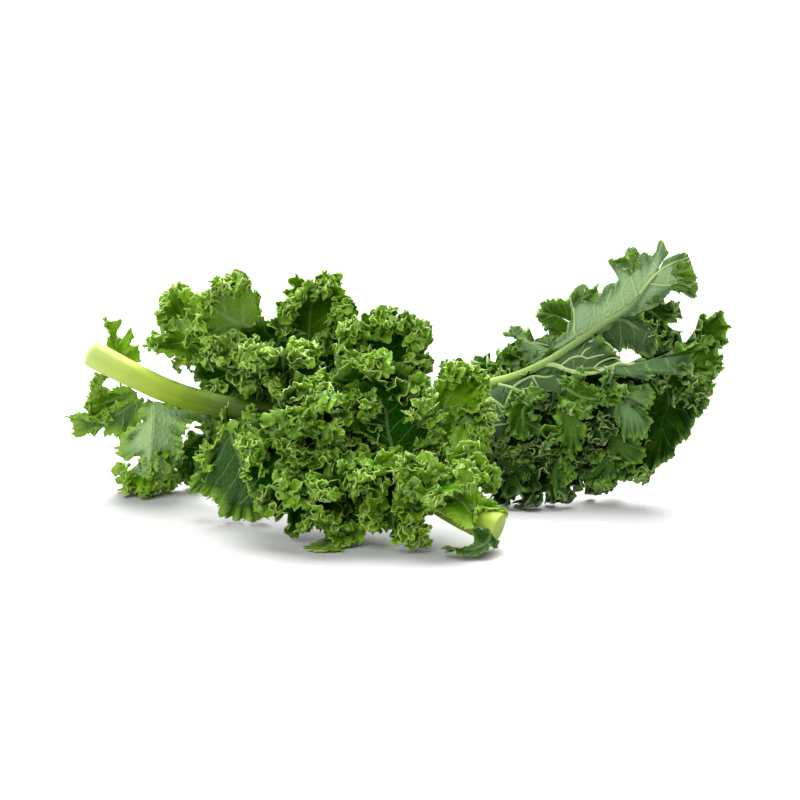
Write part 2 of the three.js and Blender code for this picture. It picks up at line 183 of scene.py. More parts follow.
def stem_material(name, codes):
    """Fresh kale petiole, grown and cut with a knife. Its skin is smooth, moist and a little glossy, with
    strings about 1 mm apart that show as faint pale lines, and it goes from pale yellow at the cut to a
    darker leaf green towards the leaves: partly its own greening and partly painted shade where the leaves
    shade it. Light soaks a few millimetres into the flesh, which softens it."""
    material, tree = empty_material(name)
    place = add(tree, "ShaderNodeAttribute", attribute_name="place").node.outputs["Vector"]
    run, turn, shade = add(tree, "ShaderNodeSeparateXYZ", {0: place}).node.outputs
    where = add(tree, "ShaderNodeTexCoord").node.outputs["Object"]
    blotch = add(tree, "ShaderNodeTexNoise", {"Vector": where, "Scale": 70.0, "Detail": 3.0})
    # the ramp's place: shade along the stem, partly its greening and partly painted shade, with random
    # blotches
    drifted = add(tree, "ShaderNodeMath", {0: blotch, 1: 0.16, 2: shade}, operation="MULTIPLY_ADD")
    ramp = add(tree, "ShaderNodeValToRGB", {0: drifted}).node
    marks = ramp.color_ramp.elements
    marks[0].position, marks[0].color = GREEN_AND_SHADE_STOPS[0], linear(codes[0])
    marks[1].position, marks[1].color = GREEN_AND_SHADE_STOPS[-1], linear(codes[-1])
    for share, code in zip(GREEN_AND_SHADE_STOPS[1:-1], codes[1:-1]):
        mark = marks.new(share)
        mark.color = linear(code)
    slow = add(tree, "ShaderNodeMath", {0: run, 1: 0.03}, operation="MULTIPLY")
    lines = add(tree, "ShaderNodeCombineXYZ", {0: turn, 1: slow})
    strings = add(tree, "ShaderNodeTexNoise", {"Vector": lines, "Scale": 0.9, "Detail": 3.0})
    pale = add(tree, "ShaderNodeMapRange", {0: strings, 1: 0.45, 2: 0.75, 3: 0.0, 4: 0.05})
    colour = add(tree, "ShaderNodeMixRGB", {0: pale, 1: ramp.outputs[0], 2: linear("#eef4c8")})
    bump = add(tree, "ShaderNodeBump", {"Strength": 0.15, "Distance": 0.0002, "Height": strings})
    body = add(tree, "ShaderNodeBsdfPrincipled", {
        "Base Color": colour, "Roughness": 0.55, "Specular IOR Level": 0.12, "Normal": bump,
        "Subsurface Weight": 0.15, "Subsurface Radius": (0.004, 0.005, 0.0015), "Subsurface Scale": 1.0})
    add(tree, "ShaderNodeOutputMaterial", {"Surface": body})
    return material


fresh_stem = stem_material(
    "kale_stem_fresh", ["#b4c576", "#acbf5c", "#93aa38", "#66800c", "#3e5606", "#334c06"])


def stem_piece(name, node, stem, inner, shaded, material, bulge=0.0):
    """A round tapering tube. A point is the centre + inner side * cos(a) * R + side across * sin(a) * R. R
    is the listed radius times 1 + the sum of height * sin(number * a + turn) over its ribs, and times 1 + a
    product of two slow sines of its length. The cut end is a slightly hollow disc with a rounded edge, or
    stands out by bulge * (1 - s squared) at the share s of its radius where it has dried, and the thin end
    closes in a dome. shaded gives how far along the colour ramp it is at its ends: partly how green it is,
    and partly painted shade from the leaves over it."""
    u = np.linspace(0, 1, STEM_RINGS)
    centre, along, side, across, radius = stem_frame(stem, inner, u)
    angle = np.linspace(0, 2 * np.pi, STEM_SIDES, endpoint=False)
    rib = np.ones(STEM_SIDES)
    for height, number, turn in STEM_RIBS:
        rib = rib + height * np.sin(number * angle + turn)
    swell = 1 + 0.015 * np.sin(u * 23) * np.sin(u * 7 + 1)
    ring = side[:, None] * np.cos(angle)[:, None] + across[:, None] * np.sin(angle)[:, None]
    outer = centre[:, None] + ring * (radius * swell)[:, None, None] * rib[:, None]
    start, direction = centre[0], along[0] * radius[0]
    depths = [(s, d + bulge * (s * s - 1)) for s, d in CUT_END]
    first = np.array([start + (outer[0] - start) * s + direction * d for s, d in depths])
    outer[0] += along[0] * (0.07 + bulge * 0.2) * radius[0]
    start, direction = centre[-1], along[-1] * radius[-1]
    last = np.array([start + (outer[-1] - start) * s + direction * d for s, d in THIN_END])
    points = np.concatenate([first, outer, last])
    rows = len(points)
    run = np.concatenate([np.zeros(len(CUT_END)), u, np.ones(len(THIN_END))])
    length = curve_through(np.array(stem, float)[:, :3])[1]
    # how far along the colour ramp each ring lies: greening and painted shade together
    green = shaded[0] + (shaded[1] - shaded[0]) * run
    place = np.broadcast_arrays((run * length)[:, None], angle * STRING_TURN, green[:, None])
    place = np.stack(place, -1)
    i, j = np.meshgrid(np.arange(rows - 1), np.arange(STEM_SIDES), indexing="ij")
    a, b = i * STEM_SIDES + j, i * STEM_SIDES + (j + 1) % STEM_SIDES
    c, d = a + STEM_SIDES, b + STEM_SIDES
    faces = np.stack([a, b, d, a, d, c], -1).reshape(-1, 3)
    piece = piece_of(name, points.reshape(-1, 3), faces, {"place": place.reshape(-1, 3)}, material)
    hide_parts(node)


stem_piece("left_leaf_petiole", "left_leaf_stem", LEFT_STEM, LEFT_INNER, (0.05, 1.5), fresh_stem, 0.35)

# Left leaf, blade: one thin fleshy sheet that grew along both sides of the midrib as deep lobes. Each lobe
# has its own vein, and its rim grew much longer than its middle, which throws it into folds on folds. Some
# lobes hang below the bare stem, and the others stand above it.
COLUMN = 0.5  # millimetres between the columns of a lobe at its rim


def lobe(at, vein, face, half, base, cup, **habit):
    """One lobe of a blade. It leaves the stem at the share at of its length, its vein runs through the
    listed points, and its face looks the given way. half is its half-width, base the share of that at its
    root, and cup how far its sides curl, in radians. Its habits are given where they aren't the common ones:
    ruffle, frill and tooth: how strong its broad folds, its fine ones and its teeth are;
    roll: how far its outer part curls towards its face, in radians;
    flip: 1 where it shows its other side, and back: how green its back is, up to 1;
    tint: fresher green above 0 and deeper green below it, and on lobes deep in the bunch a deep tint is
    painted shade;
    ribs: how much bolder its veins are drawn;
    fan: share of its vein that its columns start from, and spacing: millimetres between them at the rim;
    veins: raised ones, each as points of x and z and its radius at the start and at the end;
    tufts: side lobes, each set as how many, from and to which share of the way to the rim, from and to which
    place round it, and how tall, with tuft_back and tuft_tint for their back and added tint."""
    common = {
        "ruffle": 1, "frill": 1, "tooth": 1, "roll": 0, "flip": 0, "tint": 0, "back": 0, "ribs": 0,
        "fan": 0.7, "veins": [], "tufts": [], "tuft_back": 0.8, "tuft_tint": 0, "rim": None,
        "spacing": COLUMN}
    return {"at": at, "vein": vein, "face": face, "half": half, "base": base, "cup": cup, **common, **habit}


def sheet(at, vein, face, cup, rim, **habit):
    """A lobe whose rim runs through listed points, from one side of its root round to the other. Its cup is
    how deep it sags, as a share of its width."""
    return lobe(at, vein, face, 0, 0, cup, rim=rim, **habit)


def mass(at, vein, face, half, base, cup, **habit):
    """A curly mass: a lobe whose deep tint paints the shade within the mass, with fresher side lobes of two
    sizes, whose lighter tint is partly painted light.
    """
    shaded_within = {"ruffle": 0.8, "frill": 0.8, "roll": 0.5, "spacing": 0.8, "back": 1, "tint": -0.45,
             "tuft_tint": 0.52, "tufts": [(9, 0.3, 0.97, -0.94, 0.94, 12), (11, 0.3, 0.97, -0.94, 0.94, 7)]}
    return lobe(at, vein, face, half, base, cup, **{**shaded_within, **habit})


LEFT_WRAP = 1.2  # how far round the stem the blade's root reaches to each side, in radians
LEFT_HANGING = [
    (0, sheet(0.2, [(-138, 51, 47), (-149, 54, 39), (-160, 56, 35), (-169, 57, 34)], (0, 1, 0.2), 0.3, [
        (-144, 53, 48), (-151, 54, 43), (-157, 55, 38), (-163, 56, 37), (-167, 57, 39), (-170, 57, 38),
        (-174, 58, 37), (-171, 57, 35), (-172, 57, 32), (-172, 57, 29), (-168, 57, 28), (-165, 56, 30),
        (-162, 56, 29), (-159, 55, 28), (-157, 55, 31), (-153, 55, 28), (-150, 54, 30), (-147, 54, 28),
        (-144, 53, 26), (-141, 52, 30), (-137, 51, 34), (-133, 50, 41), (-131, 49, 48)],
        ruffle=0.3, frill=0.4, back=0.84, ribs=0.1)),
    (17, sheet(0.17, [(-138, 51, 52), (-146, 53, 49), (-154, 55, 46), (-161, 56, 44)], (0, -1, 0.3), 0.4, [
        (-141, 50, 55), (-145, 51, 55), (-149, 52, 53), (-153, 53, 55), (-156, 54, 56), (-160, 55, 53),
        (-162, 55, 49), (-165, 56, 45), (-163, 56, 43), (-164, 56, 39), (-160, 56, 38), (-157, 55, 40),
        (-153, 54, 41), (-149, 53, 42), (-146, 52, 43), (-143, 51, 46), (-139, 50, 46), (-136, 50, 49)],
        ruffle=0.3, frill=0.5, back=0.8, tint=0.1, ribs=-0.1, tufts=[(3, 0.8, 0.95, -0.5, 0, 6)])),
    (18, sheet(0.07, [(-154, 50, 63), (-157, 52, 57), (-158, 54, 52)], (0, -1, 0), 0.3, [
        (-157, 50, 63), (-160, 52, 58), (-161, 53, 54), (-160, 54, 50), (-157, 54, 50), (-155, 52, 55),
        (-153, 51, 59), (-151, 50, 62)],
        fan=0.9, ruffle=0.4, frill=0.6, tint=0.3)),
    (1, sheet(0.1, [(-144, 50, 60), (-149, 58, 79), (-150, 60, 91)], (0, -1, 0), 0.2, [
        (-139, 50, 64), (-144, 54, 73), (-138, 55, 73), (-135, 56, 68), (-136, 56, 76), (-140, 57, 76),
        (-138, 58, 80), (-140, 58, 85), (-144, 59, 79), (-148, 60, 82), (-145, 60, 90), (-149, 58, 88),
        (-154, 57, 91), (-151, 55, 85), (-150, 53, 78), (-151, 52, 71), (-149, 50, 66)],
        ruffle=0.2, frill=0.4, tooth=0.6, tint=0.6)),
    (2, sheet(0.22, [(-127, 35, 39), (-129, 35, 22), (-132, 38, 2)], (0.1, 1, 0.2), -0.3, [
        (-130, 37, 53), (-133, 38, 45), (-134, 40, 38), (-140, 41, 35), (-146, 42, 29), (-147, 42, 25),
        (-142, 42, 20), (-136, 41, 20), (-138, 41, 15), (-141, 41, 10), (-142, 40, 4), (-138, 40, 1),
        (-132, 40, 1), (-126, 40, 2), (-123, 40, 8), (-118, 40, 10), (-118, 40, 16), (-113, 40, 22),
        (-113, 40, 29), (-110, 40, 36), (-107, 40, 41), (-102, 40, 44), (-108, 39, 46), (-114, 38, 50),
        (-119, 37, 52)],
        ruffle=0.5, frill=0.7, tint=0.2, back=0.04, tufts=[(9, 0.72, 0.97, -0.3, 0.3, 9)])),
    (3, sheet(0.34, [(-98, 46, 36), (-102, 48, 23), (-111, 52, 10)], (0, -1, 0.2), 0.3, [
        (-102, 46, 43), (-97, 47, 40), (-96, 48, 32), (-97, 49, 23), (-100, 51, 17), (-104, 52, 17),
        (-106, 53, 10), (-110, 54, 4), (-113, 53, 3), (-116, 52, 10), (-119, 51, 14), (-117, 50, 19),
        (-113, 49, 23), (-109, 48, 27), (-104, 48, 29), (-101, 47, 34), (-101, 46, 39)],
        ruffle=0.6, tint=-0.3, tuft_tint=0.1, tufts=[(10, 0.5, 0.95, -0.9, 0.9, 6)])),
    (15, sheet(0.22, [(-132, 38, 15), (-132, 34, 9), (-133, 34, 2)], (0.2, -1, 0.3), 0.6, [
        (-139, 37, 15), (-134, 37, 17), (-129, 36, 15), (-125, 36, 12), (-123, 36, 7), (-125, 36, 3),
        (-130, 36, 1), (-134, 36, 1), (-138, 36, 1), (-142, 36, 4), (-141, 36, 8), (-141, 36, 12)],
        ruffle=0.3, frill=0.6, tint=0.3, tufts=[(4, 0.7, 0.95, -0.9, 0.9, 5)])),
    (16, sheet(0.22, [(-124, 37, 15), (-123, 33, 24)], (0, -1, 0.3), 0.5, [
        (-127, 34, 24), (-124, 34, 26), (-120, 34, 26), (-118, 34, 23), (-119, 34, 19), (-122, 34, 15),
        (-126, 34, 17), (-128, 34, 20)],
        ruffle=0.5, tint=0.2)),
    (4, sheet(0.45, [(-85, 10, 38), (-79, 2, 25), (-74, -2, 10), (-73, -6, 2)], (0, -0.9, 0.5), -0.25, [
        (-91, 25, 52), (-92, 11, 38), (-95, 7, 31), (-99, 4, 28), (-98, 3, 22), (-104, 1, 19),
        (-106, 0, 14), (-99, -1, 13), (-94, -3, 11), (-91, -4, 6), (-89, -5, 2), (-83, -7, 1),
        (-75, -8, 1), (-70, -5, 1), (-67, -2, 4), (-67, 1, 12), (-67, 3, 22), (-70, 6, 32),
        (-75, 9, 40), (-76, 25, 54)],
        ruffle=0.45, frill=0.7, flip=1, back=0.9, tint=-0.15, tuft_tint=0.3, ribs=0.1,
        tufts=[(8, 0.8, 0.97, -0.95, -0.4, 6), (5, 0.85, 0.97, 0.4, 0.9, 6)])),
]
LEFT_STANDING = [
    (5, sheet(0.42, [(-103, 46, 77), (-114, 50, 80), (-125, 54, 80)], (0, -1, 0.3), 0.5, [
        (-101, 44, 68), (-108, 46, 72), (-115, 48, 70), (-120, 50, 72), (-126, 52, 73), (-129, 54, 79),
        (-127, 52, 84), (-122, 51, 86), (-117, 49, 86), (-110, 48, 85), (-103, 46, 87)],
        ruffle=0.6, tooth=0.6, frill=0.7, tint=0.15, tufts=[(4, 0.8, 0.95, -0.95, 0.95, 6)])),
    (10, sheet(0.46, [(-105, 48, 78), (-113, 52, 95), (-119, 54, 103)], (0, -1, 0.3), 0.4, [
        (-105, 46, 84), (-111, 47, 91), (-117, 49, 92), (-123, 50, 92), (-125, 52, 98), (-124, 53, 102),
        (-121, 55, 104), (-118, 56, 106), (-113, 58, 108), (-111, 56, 105), (-108, 54, 107),
        (-105, 52, 103), (-101, 50, 102), (-100, 48, 94), (-101, 46, 84)],
        ruffle=0.6, tooth=0.6, frill=0.7, tint=0.25, tufts=[(5, 0.8, 0.95, -0.95, 0.95, 6)])),
    (6, sheet(0.6, [(-70, 37, 87), (-76, 36, 90), (-83, 34, 93), (-91, 31, 98), (-98, 28, 104)],
              (0.2, -1, 0.1), 0.25, [
        (-67, 34, 80), (-72, 32, 78), (-77, 31, 77), (-81, 30, 79), (-85, 28, 77), (-89, 27, 74),
        (-93, 27, 76), (-97, 27, 80), (-99, 27, 84), (-101, 27, 89), (-102, 27, 94), (-103, 27, 99),
        (-101, 28, 103), (-99, 28, 107), (-96, 29, 110), (-95, 30, 113), (-93, 31, 116),
        (-90, 32, 118), (-86, 32, 119), (-84, 33, 116), (-82, 34, 112), (-79, 34, 116), (-76, 35, 114),
        (-74, 35, 112), (-74, 36, 108), (-74, 36, 104), (-73, 37, 100), (-70, 38, 97), (-67, 40, 91)],
        ruffle=0.3, frill=0.7, flip=1, back=0.82, tint=0.8, ribs=0.6,
        tufts=[(10, 0.82, 0.97, -0.05, 0.6, 7), (7, 0.9, 0.97, -0.8, -0.1, 5)])),
    (17, sheet(0.62, [(-87, 28, 82), (-89, 24, 85), (-90, 22, 89)], (0, -1, 0.2), 0.5, [
        (-92, 26, 81), (-94, 23, 85), (-92, 21, 89), (-89, 20, 91), (-85, 20, 91), (-83, 21, 89),
        (-86, 24, 84), (-85, 26, 81)], fan=0.9, ruffle=0.4, tint=0.3)),
    (18, sheet(0.64, [(-76, 31, 79), (-77, 27, 83), (-76, 25, 86)], (0, -1, 0.2), 0.5, [
        (-81, 29, 78), (-82, 26, 83), (-80, 24, 86), (-77, 23, 88), (-73, 24, 87), (-70, 26, 84),
        (-71, 29, 80)], fan=0.9, ruffle=0.4, tint=0.5)),
    (12, lobe(0.66, [(-72, 46, 62), (-92, 48, 66), (-106, 48, 72)], (0, -1, 0.2), 15, 0.4, 0.4,
              tint=-0.3, ruffle=0.6, tuft_tint=0.2,
              tufts=[(5, 0.4, 0.97, -0.9, 0.9, 8), (9, 0.6, 0.97, -0.9, 0.9, 5)])),
    (11, mass(0.66, [(-79, 30, 75), (-88, 24, 84)], (0, -1, 0.4), 11, 0.4, 0.4,
              tufts=[(12, 0.2, 0.97, -0.9, 0.9, 7)])),
    (7, sheet(0.7, [(-47, 44, 79), (-46, 46, 96), (-44, 44, 112)], (0, -1, 0.1), 0.8, [
        (-53, 40, 77), (-61, 36, 85), (-63, 32, 92), (-64, 34, 98), (-62, 35, 104), (-57, 37, 110),
        (-54, 39, 114), (-51, 40, 115), (-48, 42, 114), (-43, 40, 114), (-39, 39, 116), (-33, 37, 115),
        (-28, 35, 112), (-25, 34, 108), (-22, 32, 104), (-25, 34, 99), (-27, 36, 92), (-31, 38, 85),
        (-38, 40, 78)],
        ruffle=0.4, frill=0.8, tint=0.15, tufts=[(26, 0.66, 0.9, -0.95, 0.95, 7)])),
    (13, lobe(0.66, [(-66, 36, 68), (-58, 37, 92)], (0, -1, 0), 22, 0.4, 0.3, tint=-0.5, ruffle=0.5,
              frill=0.5, spacing=0.8)),
    (14, lobe(0.8, [(-28, 40, 62), (-20, 32, 86)], (0, -1, 0), 24, 0.4, 0.3,
              tint=-0.4, ruffle=0.5, frill=0.5, spacing=0.8, tufts=[(6, 0.6, 0.97, -0.4, 0.4, 8)])),
    (8, mass(0.66, [(-58, 10, 72), (-58, -10, 87)], (0, -0.6, 1), 21, 0.3, -0.5, tuft_tint=0.6,
              tufts=[(10, 0.2, 0.97, -0.94, 0.94, 11), (22, 0.15, 0.97, -0.94, 0.94, 7)])),
    (19, mass(0.68, [(-56, 12, 64), (-59, 2, 74)], (0, -1, 0.3), 13, 0.4, 0.3,
              tufts=[(13, 0.2, 0.97, -0.94, 0.94, 8)])),
    (9, lobe(0.84, [(-16, 46, 69), (-28, 44, 90)], (0, -1, 0), 20, 0.6, 0.4, tint=-0.2,
             tufts=[(12, 0.4, 0.97, -0.95, 0.95, 8)])),
]
ROOT_GAP = 0.9  # from the stem's skin to the middle of the strip of blade along it
WIDEST = 0.58  # share of the vein at which a lobe is widest
BLUNT = 2.5  # 2 ends a lobe in an ellipse, and more makes its end squarer
TABLE_BEND = 5  # radius at which a hanging lobe turns to lie on the table
TABLE_GAP = 0.8  # height of a blade's middle where it lies on the table
BLADE_THICKNESS = 0.4
FOLDS = [  # length along the rim, height, lean, and where across the lobe they start and how fast they grow
    (22, 5.5, 0.3, 0.22, 1.3),
    (9.5, 2.8, 0.4, 0.45, 1.2),
    (4.6, 1.6, 0.35, 0.66, 1.1),
    (2.5, 0.55, 0.3, 0.84, 1.0),
]
# Rows of a lobe and of a side lobe, from the vein to the rim.
ROWS = np.array([0, 0.06, 0.15, 0.27, 0.39, 0.5, 0.6, 0.69, 0.77, 0.84, 0.9, 0.95, 1.0])
TUFT_ROWS = np.array([0, 0.35, 0.62, 0.8, 0.92, 1.0])
RIM_STEPS = 480  # steps by which a smooth lobe's rim is measured
VEIN_STEPS = 160  # steps of a vein in which the nearest point to the rim is sought
NEAREST_SPAN = 15  # the place on the vein that a column starts from is evened over 1 / 15 of the columns
CALM_SPAN = 6  # and the smoothed rim over 1 / 6 of them
LEAST_WIDTH = 4  # millimetres
QUARTER_ROWS = 0.45  # rows up to this share of the way to the rim use every fourth column
HALF_ROWS = 0.69  # and rows up to this one every second
TOOTH_GAP = 2.5  # millimetres between teeth
TOOTH_HEIGHT = 3.2
TOOTH_LEAN = 0.65  # share of a tooth's length at which it peaks
VEIN_HALF = 1.6  # how far the thickening by a lobe's own vein reaches to each side
VEIN_SWELL = 1.6  # share of the blade's thickness that this adds
TUBE_STEP = 1.2  # millimetres between the rings of a raised vein
TUBE_SIDES = 8
TUBE_STANDS = 0.8  # share of its radius by which a raised vein's centre lies before the sheet


def drift(x, seed):
    """A repeatable wander between -1 and 1: half of sin(1.3 x + 7.1 seed) + sin(2.9 x + 3.7 seed + 1.3)."""
    return 0.5 * (np.sin(1.3 * x + 7.1 * seed) + np.sin(2.9 * x + 3.7 * seed + 1.3))


def rise(r, start, power):
    """How far r has gone from start to 1, raised to a power."""
    return np.maximum(0, (r - start) / (1 - start)) ** power


def outline(x, base):
    """Half-width of a lobe as a share: from base it widens as a smooth step up to the widest place, and
    from there it is (1 - s to the power BLUNT) to the power 1 / BLUNT, with s from 0 to 1 at the tip."""
    s = np.clip(x / WIDEST, 0, 1)
    e = np.clip((x - WIDEST) / (1 - WIDEST), 0, 1)
    return np.where(x < WIDEST, base + (1 - base) * s * s * (3 - 2 * s), (1 - e**BLUNT) ** (1 / BLUNT))


def root_of(stem, inner, wrap, grown):
    """Where a lobe's vein leaves the stem: on the skin, at the angle that its vein sets off to."""
    centre, _, side, across, radius = stem_frame(stem, inner, grown["at"])
    away = np.array(grown["vein"][0], float) - centre
    angle = np.clip(math.atan2(away @ across, away @ side), -0.8 * wrap, 0.8 * wrap)
    return centre + (side * math.cos(angle) + across * math.sin(angle)) * (radius + ROOT_GAP)


def toothed(rows, t, rim_length, width, grown):
    """The shares of the way to the rim, with teeth: each is a lopsided triangle wave of the place round the
    rim, whose height wanders, and it fades in over the outer fifth."""
    teeth = np.round(rim_length / TOOTH_GAP)
    phase = teeth * (t + 0.035 * drift(11 * t, grown["seed"])) / 2
    saw = np.abs(np.mod(phase, 1) - TOOTH_LEAN) - 0.3
    tall = TOOTH_HEIGHT * grown["tooth"] * (0.75 + drift(31 * t, grown["seed"] + 2))
    return rows[:, None] * (1 + tall * saw * rise(rows[:, None], 0.8, 1.3) / width)


def smooth_lobe(root, grown, rows):
    """The lobe before its folds, on a grid with t from -1 to 1 round its rim and r from its vein to its rim.
    A point lies at the share fan x + r (1 - fan) x of the vein, where x is the rim's share at t, and r times
    the rim's half-width aside. The sides bend round a circle, which gives the cup."""
    at, length = curve_through([root, *grown["vein"]])
    x = np.cos(np.linspace(0, np.pi / 2, RIM_STEPS + 1))
    w = outline(x, grown["base"])
    w[0] = 0
    run = np.concatenate([[0], np.cumsum(np.hypot(np.diff(x) * length, np.diff(w) * grown["half"]))])
    rim_length = 2 * run[-1]
    columns = 8 * round(rim_length / (8 * grown["spacing"]))
    t = np.linspace(-1, 1, columns + 1)[None, :]
    r = toothed(rows, t, rim_length, grown["half"], grown)
    rim_x, rim_w = (np.interp(np.abs(t) * run[-1], run, v) for v in (x, w))
    along = (grown["fan"] + r * (1 - grown["fan"])) * rim_x
    aside = r * rim_w * grown["half"] * np.sign(t)
    place, forward, _ = at(along)
    face = unit(np.array(grown["face"], float))
    normal = unit(face - forward * dot(forward, np.broadcast_to(face, forward.shape)))
    bend = grown["cup"] / grown["half"]
    place = place + np.cross(forward, normal) * (np.sin(bend * aside) / bend)[..., None]
    place = place + normal * ((1 - np.cos(bend * aside)) / bend)[..., None]
    return place, r, t, rim_length, along * length, aside


def traced_lobe(root, grown, rows):
    """The same grid for a lobe whose rim is listed. Each column starts at the share fan of the way to the
    vein's nearest point, and goes out by r times the way to the rim as it is when smoothed, and r squared
    times the way from there to the rim itself. It sags by cup * width * r (1 - r) away from the face."""
    at, length = curve_through([root, *grown["vein"]])
    rim_at, rim_length = curve_through(grown["rim"])
    columns = 8 * round(rim_length / (8 * grown["spacing"]))
    t = np.linspace(-1, 1, columns + 1)
    edge = rim_at((t + 1) / 2)[0]
    vein_line = at(np.linspace(0, 1, VEIN_STEPS + 1))[0]
    nearest = np.argmin(np.linalg.norm(edge[:, None] - vein_line[None], axis=-1), axis=1) / VEIN_STEPS
    window = 2 * (columns // (2 * NEAREST_SPAN)) + 1
    padded = np.pad(nearest, window // 2, mode="edge")
    share = np.convolve(padded, np.ones(window) / window, mode="valid")
    wide = 2 * (columns // (2 * CALM_SPAN)) + 1
    padded = np.pad(edge, ((wide // 2, wide // 2), (0, 0)), mode="edge")
    hill = np.hanning(wide + 2)[1:-1] * 2 / (wide + 1)
    calm = np.stack([np.convolve(padded[:, k], hill, mode="valid") for k in range(3)], -1)
    place, forward, _ = at(share)
    face = unit(np.array(grown["face"], float))
    normal = unit(face - forward * dot(forward, np.broadcast_to(face, forward.shape)))
    if np.sum(dot(edge - place, np.cross(forward, normal))[:, 0] * t) < 0:
        edge, calm, share, place, normal = (v[::-1] for v in (edge, calm, share, place, normal))
    start = at(grown["fan"] * share)[0]
    width = np.maximum(np.linalg.norm(edge - start, axis=-1), LEAST_WIDTH)
    r = toothed(rows, t[None, :], rim_length, width, grown)
    sag = (grown["cup"] * width * r * (1 - r))[..., None]
    p = start + r[..., None] * (calm - start) + (r**2)[..., None] * (edge - calm) - normal * sag
    along = (grown["fan"] + r * (1 - grown["fan"])) * share * length
    return p, r, t[None, :], rim_length, along, r * np.linalg.norm(edge - place, axis=-1) * np.sign(t)


def rolled(p, rows, angle):
    """Curls the outer part of a lobe towards its face. Past the row r = 0.5 the way out to the rim, of
    length L, is bent round an arc: L sin(angle s) / angle outwards and L (1 - cos(angle s)) / angle up."""
    if not angle:
        return p
    start = int(np.searchsorted(rows, 0.5))
    out = p[-1] - p[start]
    up = unit(np.cross(np.gradient(p[start], axis=0), p[start + 1] - p[start]))
    up = up * np.linalg.norm(out, axis=-1)[:, None]
    s = ((rows[start:] - rows[start]) / (1 - rows[start]))[:, None, None]
    q = p.copy()
    q[start:] += out * (np.sin(angle * s) / angle - s) + up * (1 - np.cos(angle * s)) / angle
    return q


def folded(p, r, t, rim_length, fold, strength, seed):
    """One set of folds. A point moves along the sheet's normal by size * sin(phase), and back along the rim
    by size * lean * sin(2 phase), where phase runs evenly round the rim with a slow drift."""
    length, height, lean, start, power = fold
    count = max(3, round(rim_length / length))
    along = unit(np.gradient(p, axis=1))
    normal = unit(np.cross(along, np.gradient(p, axis=0)))
    size = strength * height * (1 + 0.35 * drift(3.1 * t, seed)) * rise(r, start, power)
    phase = np.pi * count * (t + 0.06 * drift(5 * t, seed + 1)) + 5 * seed
    leaning = along * (size * lean * np.sin(2 * phase))[..., None]
    return p + normal * (size * np.sin(phase))[..., None] - leaning


def settled(p, grown):
    """A lobe that reaches the table bends round a quarter circle and lies flat on it, away to one side."""
    below = TABLE_BEND - p[..., 2]
    turn = np.clip(below / TABLE_BEND, 0, np.pi / 2)
    aside = TABLE_BEND * (1 - np.cos(turn)) + np.maximum(0, below - TABLE_BEND * np.pi / 2)
    level = np.array([grown["face"][0], grown["face"][1], 0.0])
    last = np.array(grown["vein"][-1], float) - np.array(grown["vein"][-2], float)
    q = p + unit(level) * (-1 if level @ last < 0 else 1) * aside[..., None]
    q[..., 2] = np.where(below > 0, TABLE_BEND * (1 - np.sin(turn)), p[..., 2])
    return q


def above_table(p):
    """Eases points up so that none is under the table: z becomes gap + log(1 + exp(z - gap))."""
    q = p.copy()
    q[..., 2] = TABLE_GAP + np.logaddexp(0, p[..., 2] - TABLE_GAP)
    return q


def grid_faces(rows, columns):
    """Triangles of a grid whose inner rows skip columns: they use every fourth, then every second and then
    each of them. Where the spacing halves, three triangles fill a step."""
    split = [4 if r <= QUARTER_ROWS else 2 if r <= HALF_ROWS else 1 for r in rows]
    made = []
    for i in range(len(rows) - 1):
        a, c = (k * columns for k in (i, i + 1))
        j = np.arange(0, columns - 1, split[i])
        if split[i + 1] == split[i]:
            s = split[i]
            made += [np.stack([a + j, a + j + s, c + j + s], -1), np.stack([a + j, c + j + s, c + j], -1)]
        else:
            s, h = split[i], split[i + 1]
            made += [np.stack([a + j, a + j + s, c + j + h], -1), np.stack([a + j, c + j + h, c + j], -1),
                     np.stack([a + j + s, c + j + s, c + j + h], -1)]
    return np.concatenate(made)


def shell(points, faces, thickness):
    """A closed thin solid: the sheet moved by half its thickness along its normals to each side, and a wall
    round every edge that only one triangle has. Returns points, triangles and the side of each point."""
    faces, first = welded(points, faces)
    faces = first[faces]
    corner = points[faces]
    flat = np.cross(corner[:, 1] - corner[:, 0], corner[:, 2] - corner[:, 0])
    summed = [np.bincount(faces.ravel(), np.repeat(flat[:, k], 3), len(points)) for k in range(3)]
    offset = unit(np.stack(summed, -1)) * thickness[:, None] / 2
    edges = np.concatenate([faces[:, [0, 1]], faces[:, [1, 2]], faces[:, [2, 0]]])
    n = len(points)
    key, back = edges[:, 0] * n + edges[:, 1], edges[:, 1] * n + edges[:, 0]
    a, b = edges[~np.isin(key, back)].T
    walls = np.concatenate([np.stack([b, a, a + n], -1), np.stack([b, a + n, b + n], -1)])
    both = np.concatenate([faces, faces[:, [0, 2, 1]] + n, walls])
    return np.concatenate([points + offset, points - offset]), both, np.repeat([1.0, 0.0], n)


